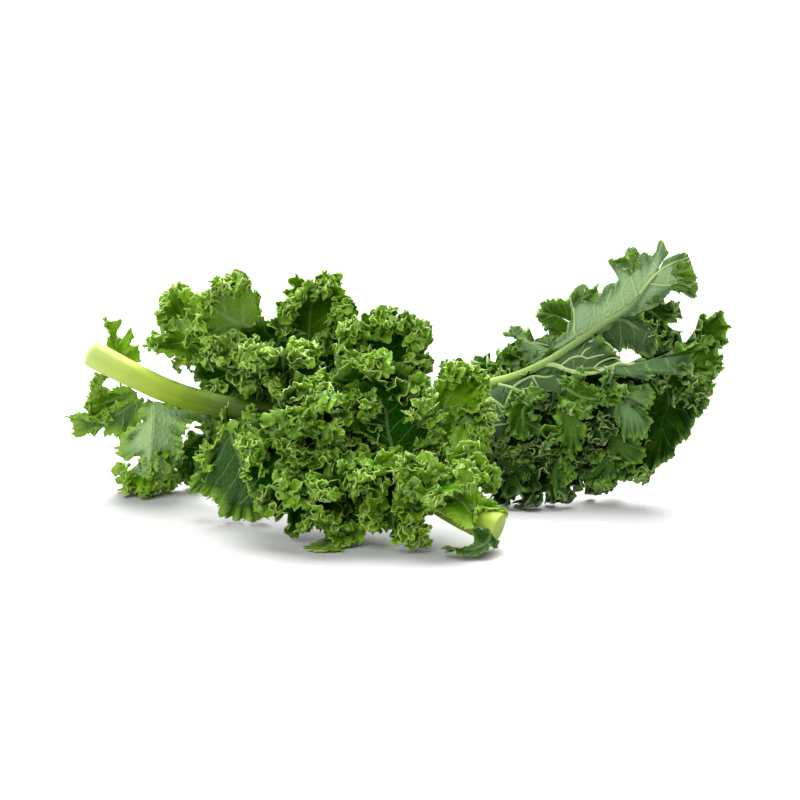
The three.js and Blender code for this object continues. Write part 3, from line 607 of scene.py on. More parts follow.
def grow(root, grown, folds, rows):
    """A lobe as a closed solid with its attributes: place (along its vein, aside from it and in from the
    rim, in millimetres), upper (1 on its face and 0 on its back), tint and ribs. Its raised veins and its
    side lobes come with it. Over its own vein it is thicker by VEIN_SWELL * exp(-(aside / VEIN_HALF)
    squared), which fades towards the tip."""
    seed = grown["seed"]
    p, r, t, rim_length, along, aside = (traced_lobe if grown["rim"] else smooth_lobe)(root, grown, rows)
    p = rolled(p, rows, grown["roll"])
    parts = []
    for k, fold in enumerate(folds):
        if k == 1:
            parts = tufts_on(p, grown, rows)
        p = folded(p, r, t, rim_length, fold, grown["ruffle"] if k == 0 else grown["frill"], seed + 0.37 * k)
    p = above_table(settled(p, grown))
    parts += veins_on(p, grown)
    to_rim = (1 - rows)[:, None] * np.maximum(np.linalg.norm(p[-1] - p[0], axis=-1), 1)[None, :]
    place = np.stack([along, aside, to_rim], -1).reshape(-1, 3)
    swell = np.exp(-((aside / VEIN_HALF) ** 2)) * np.clip(1.3 - along / along.max(), 0, 1)
    thickness = BLADE_THICKNESS * (1 + VEIN_SWELL * swell)
    points, faces, upper = shell(p.reshape(-1, 3), grid_faces(rows, p.shape[1]), thickness.reshape(-1))
    upper = np.maximum(np.abs(grown["flip"] - upper), grown["back"])
    even = np.ones(len(points))
    place = np.concatenate([place, place])
    return [(points, faces, place, upper, even * grown["tint"], even * grown["ribs"]), *parts]


def veins_on(p, grown):
    """Raised veins as thin round tubes with closed ends, whose radius runs evenly from the one end to the
    other. A vein is listed by x and z, and each ring's centre lies TUBE_STANDS of its radius before a plane
    y = a + b x + c z, fitted there by least squares to the sheet's points, each weighed by
    exp(-d squared / 3), where d is its distance in x and z."""
    flat = p.reshape(-1, 3)
    sides = TUBE_SIDES
    made = []
    for points, first, last in grown["veins"]:
        at, length = curve_through([(x, 0, z) for x, z in points])
        rings = max(6, round(length / TUBE_STEP))
        u = np.linspace(0, 1, rings)
        centre = at(u)[0]
        dx, dz = (flat[None, :, k] - centre[:, None, k] for k in (0, 2))
        terms = np.stack([np.ones_like(dx), dx, dz], -1)
        weighed = terms * (np.exp(-(dx**2 + dz**2) / 3) + 1e-7)[..., None]
        turned = np.swapaxes(weighed, 1, 2)
        fitted = np.linalg.solve(turned @ terms, turned @ flat[:, 1:2])
        radius = (first + (last - first) * u)[:, None, None]
        centre[:, 1] = fitted[:, 0, 0] - TUBE_STANDS * radius[:, 0, 0]
        along = unit(np.gradient(centre, axis=0))
        side = unit(np.cross(along, [0.0, 1.0, 0.0]))
        across = np.cross(side, along)
        angle = np.linspace(0, 2 * np.pi, sides, endpoint=False)[None, :, None]
        ring = centre[:, None] + radius * (side[:, None] * np.cos(angle) + across[:, None] * np.sin(angle))
        tube = np.concatenate([ring.reshape(-1, 3), centre[:1], centre[-1:]])
        i, j = np.meshgrid(np.arange(rings - 1), np.arange(sides), indexing="ij")
        a, b = (i * sides + j).ravel(), (i * sides + (j + 1) % sides).ravel()
        k = np.arange(sides)
        n, end = rings * sides, (rings - 1) * sides
        faces = np.concatenate([
            np.stack([a, b + sides, b], -1), np.stack([a, a + sides, b + sides], -1),
            np.stack([np.full(sides, n), k, (k + 1) % sides], -1),
            np.stack([np.full(sides, n + 1), end + (k + 1) % sides, end + k], -1)])
        place = np.tile([0.0, 0.0, 20.0], (n + 2, 1))
        even = np.ones(n + 2)
        made.append((tube, faces, place, even * 0, even * 0, even))
    return made


TUFT_FOLDS = [(8.0, 2.6, 0.4, 0.2, 1.2), (3.8, 1.4, 0.35, 0.45, 1.1), (2.4, 0.6, 0.3, 0.7, 1.0)]
TUFT_TURN = 2.6  # radians by which a side lobe's face turns round the normal, at most
TUFT_VARIES = 0.25  # share by which its height varies
TUFT_HALF = (0.75, 0.12)  # its half-width as a share of its height, and how much this varies
TUFT_VEIN = ((0.55, 0.15), (0.95, 0.55))  # points of its vein, as shares of its height up and out
TUFT_FULL = 10  # millimetres of height from which its folds are weakened
TUFT_SHADES = 0.15  # how much its tint varies
EVEN_STEPS = (0.7548777, 0.5698403)  # 1 / n and 1 / n squared of the plastic number n, where n cubed = n + 1


def tufts_on(p, grown, rows):
    """Side lobes that stand on the face of a lobe. The multiples of two even steps, without their whole
    part, spread their roots over it. Each sets off along the face's normal and bends outwards, and each faces
    its own way round that normal."""
    normal = unit(np.cross(np.gradient(p, axis=1), np.gradient(p, axis=0)))
    seed = grown["seed"]
    made = []
    for zone, (count, r0, r1, t0, t1, tall_here) in enumerate(grown["tufts"]):
        for k in range(count):
            spread = (EVEN_STEPS[0] * (k + 1) + 0.37 * seed + 0.5 * zone) % 1
            share = r0 + (r1 - r0) * math.sqrt((EVEN_STEPS[1] * (k + 1) + 0.2 * seed) % 1)
            row = min(int(np.searchsorted(rows, share)), len(rows) - 2)
            column = int((t0 + (t1 - t0) * spread + 1) / 2 * (p.shape[1] - 1))
            here, up = p[row, column], normal[row, column]
            out = unit(p[-1, column] - p[0, column])
            round_it = TUFT_TURN * drift(2.0 * k, seed + 3)
            turned = out * math.cos(round_it) + np.cross(up, out) * math.sin(round_it)
            tall = tall_here * (1 + TUFT_VARIES * drift(1.7 * k, seed))
            vein = [here + up * tall * rises + out * tall * goes for rises, goes in TUFT_VEIN]
            half = tall_here * (TUFT_HALF[0] + TUFT_HALF[1] * drift(k, seed + 1))
            calm = min(1, TUFT_FULL / tall_here)
            tint = grown["tint"] + grown["tuft_tint"] + TUFT_SHADES * drift(2.3 * k, seed + 5)
            tuft = lobe(0, vein, -turned, half, 0.4, 0.9, tint=tint, ruffle=calm, frill=calm, tooth=0.8,
                        spacing=0.55, back=grown["tuft_back"])
            tuft["seed"] = seed + 0.61 * (k + 1) + 0.13 * zone
            made += grow(here - up, tuft, TUFT_FOLDS, TUFT_ROWS)
    return made


def blade_material(name, deep, fresh, rim, under, rib, fade):
    """Fresh kale leaf, grown. It is a thin waxy sheet that is deep green within and fresher towards its
    frills, from fade millimetres inwards, which is partly its own colour and partly painted shade deeper in,
    with a pale thin rim that is partly a painted highlight. Its side veins leave the main one every 9 mm
    at about 45 degrees, and a net with 3 mm meshes joins them. On the back the veins are raised, and wax
    dulls the green. A leaf lets part of the light through as a yellower green, so that its folds glow."""
    material, tree = empty_material(name)

    def maths(operation, *values):
        """One Math node."""
        return add(tree, "ShaderNodeMath", dict(enumerate(values)), operation=operation)

    def ramped(value, start, end, low=0.0, high=1.0):
        """A smooth step from low at start to high at end."""
        return add(tree, "ShaderNodeMapRange", {0: value, 1: start, 2: end, 3: low, 4: high},
                   interpolation_type="SMOOTHSTEP")

    def mixed(share, first, second, **settings):
        """A mix of two colours, with the share of the second."""
        return add(tree, "ShaderNodeMixRGB", {0: share, 1: first, 2: second}, **settings)

    place = add(tree, "ShaderNodeAttribute", attribute_name="place").node.outputs["Vector"]
    along, aside, inward = add(tree, "ShaderNodeSeparateXYZ", {0: place}).node.outputs
    upper, tint, ribs = (
        add(tree, "ShaderNodeAttribute", attribute_name=key).node.outputs["Fac"]
        for key in ("upper", "tint", "ribs"))
    where = add(tree, "ShaderNodeTexCoord").node.outputs["Object"]
    mottle = add(tree, "ShaderNodeTexNoise",
                 {"Vector": where, "Scale": 90.0, "Detail": 4.0, "Roughness": 0.6})
    wander = add(tree, "ShaderNodeTexNoise", {"Vector": where, "Scale": 120.0, "Detail": 1.0})
    off = maths("ABSOLUTE", aside)
    left = maths("LESS_THAN", aside, 0.0)
    s = maths("MULTIPLY_ADD", off, -0.85, along)
    s = maths("MULTIPLY_ADD", wander, 5.0, s)
    s = maths("MULTIPLY_ADD", left, 4.5, s)
    between = maths("ABSOLUTE", maths("SUBTRACT", maths("FRACT", maths("DIVIDE", s, 9.0)), 0.5))
    narrow, wide = maths("MULTIPLY", ribs, 0.05), maths("MULTIPLY_ADD", ribs, 0.09, 0.06)
    side_veins = ramped(between, narrow, wide, 0.9, 0.0)
    narrow, wide = maths("MULTIPLY_ADD", ribs, 0.7, 0.4), maths("MULTIPLY_ADD", ribs, 0.9, 1.1)
    main_vein = ramped(off, narrow, wide, 1.0, 0.0)
    net = add(tree, "ShaderNodeTexVoronoi", {"Vector": place, "Scale": 0.33}, feature="DISTANCE_TO_EDGE",
              voronoi_dimensions="2D")
    net_veins = maths("MULTIPLY", ramped(net, 0.02, 0.1, 1.0, 0.0), maths("MULTIPLY_ADD", ribs, 0.4, 0.15))
    veins = maths("MAXIMUM", maths("MAXIMUM", side_veins, main_vein), net_veins)
    # deeper green inwards from the rim: partly the frills' own fresher colour and partly painted shade in the
    # hollows
    freshness_and_shade = maths("ADD", tint, ramped(inward, fade, 0.5, -0.35, 0.45))
    freshness_and_shade = maths("MULTIPLY_ADD", mottle, 0.8, freshness_and_shade)
    on_face = mixed(freshness_and_shade, linear(deep), linear(fresh), use_clamp=True)
    on_back = mixed(ramped(inward, 12.0, 0.5, 0.05, 0.8), linear(under), on_face)
    green = mixed(upper, on_back, on_face)
    seen = maths("MULTIPLY_ADD", ribs, 0.3, ramped(upper, 0.0, 1.0, 0.75, 0.22))
    ribbed = mixed(maths("MULTIPLY", veins, seen), green, linear(rib))
    # a pale line along the rim, partly the edge's own colour and partly a painted highlight
    pale_rim_and_highlight = maths("MULTIPLY", ramped(inward, 0.4, 0.0), ramped(mottle, 0.44, 0.58, 0.05, 0.85))
    colour = mixed(pale_rim_and_highlight, ribbed, linear(rim))
    raised = maths("MULTIPLY", veins, ramped(upper, 0.0, 1.0, 1.0, -0.6))
    puff = add(tree, "ShaderNodeTexNoise", {"Vector": where, "Scale": 260.0, "Detail": 2.0})
    quilt = maths("MULTIPLY_ADD", ramped(net, 0.0, 0.45), ramped(upper, 0.0, 1.0, -1.2, 0.8), raised)
    height = maths("MULTIPLY_ADD", puff, 0.8, quilt)
    bump = add(tree, "ShaderNodeBump", {"Strength": 0.6, "Distance": 0.0005, "Height": height})
    wax = add(tree, "ShaderNodeBsdfPrincipled", {
        "Base Color": colour, "Roughness": ramped(upper, 0.0, 1.0, 0.62, 0.45),
        "Specular IOR Level": ramped(inward, 8.0, 0.5, 0.0, 0.35),
        "Normal": bump})
    glow = mixed(1.0, colour, linear("#f4ff9c"), blend_type="MULTIPLY")
    through = add(tree, "ShaderNodeBsdfTranslucent", {"Color": glow, "Normal": bump})
    surface = add(tree, "ShaderNodeMixShader", {0: 0.16, 1: wax, 2: through})
    add(tree, "ShaderNodeOutputMaterial", {"Surface": surface})
    return material


def blade_piece(name, lobes, leaf):
    """One piece of a leaf's blade. A lobe's seed is its leaf's seed plus its number."""
    parts = []
    for number, grown in lobes:
        grown["seed"] = leaf["seed"] + number
        root = root_of(leaf["stem"], leaf["inner"], leaf["wrap"], grown)
        parts += grow(root, grown, FOLDS, ROWS)
    starts = np.cumsum([0] + [len(part[0]) for part in parts])
    faces = np.concatenate([part[1] + start for part, start in zip(parts, starts)])
    points, place, upper, tint, ribs = (np.concatenate([part[k] for part in parts]) for k in (0, 2, 3, 4, 5))
    attributes = {"place": place, "upper": upper, "tint": tint, "ribs": ribs}
    piece = piece_of(name, points, faces, attributes, leaf["material"])
    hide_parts(leaf["node"])


left_leaf = {
    "stem": LEFT_STEM, "inner": LEFT_INNER, "wrap": LEFT_WRAP, "seed": 1,
    "node": "left_leaf_blade", "slot": "blade",
    "material": blade_material("kale_leaf_left", "#164600", "#80ae1a", "#bcd674", "#a2c48a", "#b4cc88", 10)}
blade_piece("left_leaf_hanging_lobes", LEFT_HANGING, left_leaf)
blade_piece("left_leaf_standing_lobes", LEFT_STANDING, left_leaf)

# Front leaf, stem: the thickest petiole of the bunch, cut at the front, which runs back and left under its
# own lobes. Like the left one it is solid, pale and stringy.
FRONT_STEM = [
    (48, -53, 11, 8.2), (29, -44, 17, 7.4), (12, -30, 22, 5.9), (-7, -17, 28, 4.5),
    (-30, -11, 37, 3.2), (-50, -9, 44, 2.2), (-69, -9, 52, 1.3),
]
FRONT_INNER = ((0.6, 0.8, 0.1), (0, 0.2, 1))
stem_piece("front_leaf_petiole", "front_leaf_stem", FRONT_STEM, FRONT_INNER, (0.3, 1.3), fresh_stem)

# Front leaf, blade: the curliest of the three, whose lobes crowd over its midrib in one frilled mass. A
# narrow strip of blade hooks down from the cut end and lies on the table.
FRONT_WRAP = 1.9
PAINTED_SHADE_LOBE = {"tint": -0.5, "ruffle": 0.5, "frill": 0.5, "spacing": 0.9}  # a bare lobe deep in the mass whose deep tint is painted shade, seen through the gaps between the frills
FRONT_BACK = [
    (0, sheet(0.1, [(35, -58, 21), (30, -54, 25), (25, -49, 28)], (0, -0.6, 1), -0.1, [
        (36, -62, 15), (36, -62, 19), (36, -60, 23), (39, -56, 22), (43, -53, 20), (47, -51, 19),
        (52, -50, 17), (53, -48, 18), (50, -47, 21), (47, -47, 22), (44, -47, 24), (41, -47, 26),
        (39, -46, 29), (36, -46, 32), (33, -46, 30), (30, -45, 33), (27, -45, 30), (24, -45, 29),
        (21, -47, 25), (19, -50, 23), (16, -53, 20), (15, -55, 20), (18, -57, 21), (22, -60, 21),
        (25, -62, 20), (28, -63, 17), (32, -64, 15), (34, -64, 14)],
        fan=0.85, ruffle=0.3, frill=0.4, back=0.7, tint=0.25)),
    (1, sheet(0.06, [(43, -62, 9), (36, -65, 5), (27, -65, 4)], (0, -0.6, 1), 0.1, [
        (48, -60, 7), (47, -62, 5), (43, -65, 5), (40, -67, 4), (35, -68, 3), (29, -68, 3),
        (25, -67, 4), (22, -67, 4), (24, -66, 5), (20, -64, 5), (23, -63, 6), (27, -63, 5),
        (31, -63, 5), (35, -63, 6), (36, -62, 9), (35, -62, 13), (37, -61, 14), (42, -60, 11)],
        fan=0.85, ruffle=0.15, frill=0.3, tooth=0.5, tint=-0.7)),
    (2, sheet(0.3, [(26, -14, 34), (20, -8, 49), (23, -4, 63), (31, 2, 75)], (0, -1, 0.1), 0.3, [
        (16, -12, 31), (13, -10, 44), (12, -7, 56), (13, -5, 66), (18, -3, 72), (24, 0, 77), (30, 2, 79),
        (36, 0, 79), (42, -2, 75), (44, -4, 67), (45, -6, 58), (44, -8, 50), (43, -10, 43), (40, -12, 37),
        (35, -14, 32), (29, -14, 29)],
        ruffle=0.5, frill=0.9, tint=0.55, tuft_tint=0.25, ribs=0.2, tufts=[
            (8, 0.7, 0.95, -0.2, 0.3, 7), (10, 0.8, 0.95, 0.3, 0.95, 5), (4, 0.8, 0.95, -0.95, -0.3, 5)])),
    (27, sheet(0.3, [(30, -10, 52), (27, -20, 45), (30, -34, 38)], (0, -1, 0.3), 0.4, [
        (28, -8, 53), (26, -12, 51), (24, -17, 48), (24, -22, 44), (25, -28, 40), (27, -33, 37),
        (31, -36, 35), (32, -32, 38), (34, -26, 41), (35, -21, 44), (35, -16, 47), (34, -11, 51)],
        fan=0.9, ruffle=0.2, frill=0.4, tooth=0.5, back=0.9, tint=0.4)),
    (28, sheet(0.3, [(31, -7, 56), (36, -10, 51), (40, -12, 44)], (0, -1, 0.2), 0.3, [
        (27, -7, 54), (27, -6, 57), (30, -6, 59), (34, -6, 58), (37, -6, 61), (41, -6, 62),
        (44, -6, 63), (45, -7, 59), (44, -8, 56), (46, -9, 52), (45, -10, 47), (44, -11, 43),
        (41, -12, 39), (38, -12, 41), (35, -11, 44), (33, -10, 48), (31, -8, 51)],
        fan=0.9, ruffle=0.6, roll=0.5, spacing=0.7, back=0.95, tint=0.1, tuft_tint=0.55,
        tufts=[(14, 0.35, 0.97, -0.3, 0.94, 5)])),
    (3, sheet(0.45, [(-5, 0, 41), (-7, 6, 61), (-5, 4, 100)], (0, -1, 0), 0.3, [
        (-4, -6, 31), (4, -5, 34), (11, -4, 42), (14, -3, 52), (12, -1, 65), (14, 0, 75), (15, 1, 88),
        (17, 2, 98), (10, 3, 101), (2, 4, 106), (-4, 4, 107), (-11, 5, 103), (-19, 6, 104), (-25, 6, 101),
        (-29, 5, 94), (-30, 4, 81), (-28, 4, 66), (-27, 1, 57), (-22, -3, 47), (-14, -6, 38)],
        ruffle=0.6, frill=0.8, tint=-0.1, tuft_tint=0.15, tufts=[(30, 0.4, 0.97, -0.6, 0.6, 8)])),
    (4, mass(0.52, [(-10, 4, 58), (-15, -22, 83)], (0, -0.7, 1), 22, 0.15, -0.6, tuft_tint=0.65,
              tufts=[(12, 0.2, 0.97, -0.94, 0.94, 12), (18, 0.2, 0.97, -0.94, 0.94, 7)])),
]
FRONT_UPPER = [
    (15, mass(0.62, [(-36, -4, 62), (-38, -8, 74)], (0, -1, 0.5), 14, 0.4, 0.3)),
    (22, sheet(0.45, [(-4, -21, 44), (-6, -18, 51), (-7, -15, 60), (-8, -9, 72)], (0, -1, 0.1), 0.2, [
        (-8, -23, 44), (-13, -21, 47), (-20, -20, 49), (-25, -19, 53), (-28, -17, 59), (-29, -16, 66),
        (-26, -10, 74), (-17, -5, 80), (-8, -3, 82), (1, -3, 82), (9, -6, 79), (16, -11, 71),
        (18, -17, 60), (19, -18, 54), (20, -20, 47), (17, -22, 42), (10, -24, 39), (3, -24, 40),
        (-1, -23, 43)],
        ruffle=0.2, frill=0.5, tint=-0.25, tuft_tint=0.15, ribs=0.05,
        tufts=[(7, 0.8, 0.95, 0.2, 0.9, 5)])),
    (23, sheet(0.4, [(9, -22, 56), (12, -25, 61), (14, -26, 65)], (0, -1, 0.2), 0.5, [
        (6, -23, 58), (6, -25, 63), (8, -26, 66), (11, -26, 67), (15, -26, 65), (17, -26, 62),
        (17, -24, 57), (13, -23, 54)], fan=0.9, ruffle=0.5, tufts=[(3, 0.6, 0.9, -0.9, 0.9, 5)])),
    (24, sheet(0.35, [(15, -24, 42), (17, -26, 47), (18, -27, 51)], (0, -1, 0.2), 0.5, [
        (12, -24, 43), (12, -26, 48), (15, -27, 52), (18, -27, 52), (20, -27, 49), (20, -26, 44),
        (18, -25, 40)], fan=0.9, ruffle=0.5, tufts=[(3, 0.6, 0.9, -0.9, 0.9, 5)])),
    (25, sheet(0.5, [(-17, -18, 71), (-16, -22, 67), (-15, -23, 62)], (0, -1, 0.2), 0.5, [
        (-23, -19, 71), (-23, -21, 68), (-21, -23, 64), (-19, -23, 61), (-17, -23, 63), (-15, -23, 59),
        (-12, -23, 62), (-11, -22, 66), (-11, -20, 69), (-13, -18, 72)],
        fan=0.9, ruffle=0.5, tint=-0.1, tufts=[(4, 0.5, 0.9, -0.9, 0.9, 5)])),
    (17, lobe(0.35, [(8, 4, 40), (10, 8, 62)], (0, -1, 0), 17, 0.4, 0.3, **PAINTED_SHADE_LOBE)),
    (20, lobe(0.5, [(-14, -4, 30), (-14, 0, 52)], (0, -1, 0), 15, 0.5, 0.3, **PAINTED_SHADE_LOBE)),
    (21, lobe(0.9, [(-62, -6, 38), (-62, -6, 56)], (0, -1, 0), 13, 0.5, 0.3, **PAINTED_SHADE_LOBE)),
    (19, lobe(0.6, [(-30, -2, 45), (-30, 2, 62)], (0, -1, 0.2), 17, 0.5, 0.3, **PAINTED_SHADE_LOBE)),
    (5, mass(0.74, [(-52, -20, 60), (-55, -30, 72)], (0, -1, 1), 20, 0.4, -0.4)),
    (6, mass(0.66, [(-42, -18, 60), (-43, -27, 76)], (0, -0.9, 0.5), 15, 0.4, 0.4,
              tufts=[(8, 0.3, 0.97, -0.94, 0.94, 10), (11, 0.3, 0.97, -0.94, 0.94, 7)])),
    (7, mass(0.97, [(-63, -16, 50), (-64, -28, 44)], (-0.4, 0, 1), 16, 0.5, -0.6,
              tufts=[(8, 0.3, 0.97, -0.94, 0.94, 9), (11, 0.3, 0.97, -0.94, 0.94, 6)])),
    (8, mass(0.8, [(-56, -26, 40), (-57, -44, 24)], (0, -0.6, 1), 20, 0.4, -0.5)),
    (9, mass(0.6, [(-38, -22, 46), (-41, -36, 54)], (0, -0.8, 1), 12, 0.4, -0.5,
              tufts=[(6, 0.3, 0.97, -0.94, 0.94, 10), (11, 0.3, 0.97, -0.94, 0.94, 7)])),
]
FRONT_LOWER = [
    (26, mass(0.5, [(-27, -28, 35), (-29, -42, 41)], (0, -1, 0.4), 10, 0.5, 0.3,
              tufts=[(10, 0.2, 0.97, -0.9, 0.9, 7)])),
    (10, mass(0.58, [(-33, -34, 37), (-38, -50, 29)], (0, -0.4, 1), 19, 0.4, -0.5)),
    (11, mass(0.55, [(-26, -30, 18), (-24, -40, 3)], (0, -1, 0.5), 18, 0.4, -0.4)),
    (12, mass(0.4, [(2, -36, 32), (0, -54, 34)], (0, -0.2, 1), 20, 0.4, -0.5)),
    (13, mass(0.4, [(-2, -38, 22), (-4, -49, 8)], (0, -0.7, 1), 17, 0.4, -0.4)),
    (14, lobe(0.26, [(17, -48, 32), (15, -60, 30)], (0, -0.3, 1), 14, 0.5, -0.4,
              tufts=[(8, 0.4, 0.95, -0.9, 0.9, 8)])),
    (16, mass(0.62, [(-44, -26, 30), (-45, -36, 14), (-45, -42, 5)], (0, -1, 0.3), 18, 0.4, -0.4)),
    (18, lobe(0.2, [(32, -32, 30), (37, -30, 42)], (0, -1, 0.6), 13, 0.5, 0.4, tint=0.1,
              tufts=[(8, 0.4, 0.95, -0.9, 0.9, 8)])),
]
front_leaf = {
    "stem": FRONT_STEM, "inner": FRONT_INNER, "wrap": FRONT_WRAP, "seed": 21,
    "node": "front_leaf_blade", "slot": "blade",
    "material": blade_material("kale_leaf_front", "#164800", "#78a814", "#c0da78", "#8eac74", "#b4cc88", 10)}
blade_piece("front_leaf_back_lobes", FRONT_BACK, front_leaf)
blade_piece("front_leaf_upper_lobes", FRONT_UPPER, front_leaf)
blade_piece("front_leaf_lower_lobes", FRONT_LOWER, front_leaf)

# Right leaf, stem: a slim petiole whose thick end lies hidden behind the bunch and whose midrib climbs to
# the right across the back of the blade.
RIGHT_STEM = [
    (-30, 78, 14, 5.2), (10, 64, 38, 3.9), (42, 50, 56, 2.6), (59, 47, 62, 2.2), (75, 45, 70, 2),
    (90, 45, 80, 1.8), (104, 45, 90, 1.5), (116, 47, 97, 1.2), (122, 50, 102, 0.9),
    (127, 52, 108, 0.7), (132, 53, 114, 0.4),
]
RIGHT_INNER = ((0, 1, 0.2), (0, 1, 0.2))
# The pale stem's colours darken and grey towards its thin end, partly its own colour and partly painted shade
# of the blade beside it.
pale_stem = stem_material(
    "kale_stem_pale", ["#b0c670", "#a8c064", "#8aa456", "#748e50", "#68824c", "#5c7446"])
stem_piece("right_leaf_petiole", "right_leaf_stem", RIGHT_STEM, RIGHT_INNER, (-0.3, 0.83), pale_stem)

# Right leaf, blade: the broadest and darkest, seen mostly from its back, where wax greys the green and
# pale veins stand out. Its upper part is almost flat with a scalloped rim, and its lower lobes are frilled.
RIGHT_WRAP = 1.2


def curl(at, vein, tint, rim):
    """A small fold of rim that opens forwards like a scoop."""
    return sheet(at, vein, (0, -1, 0.1), 1.2, rim, fan=0.93, ruffle=0.4, frill=0.6, tint=tint)


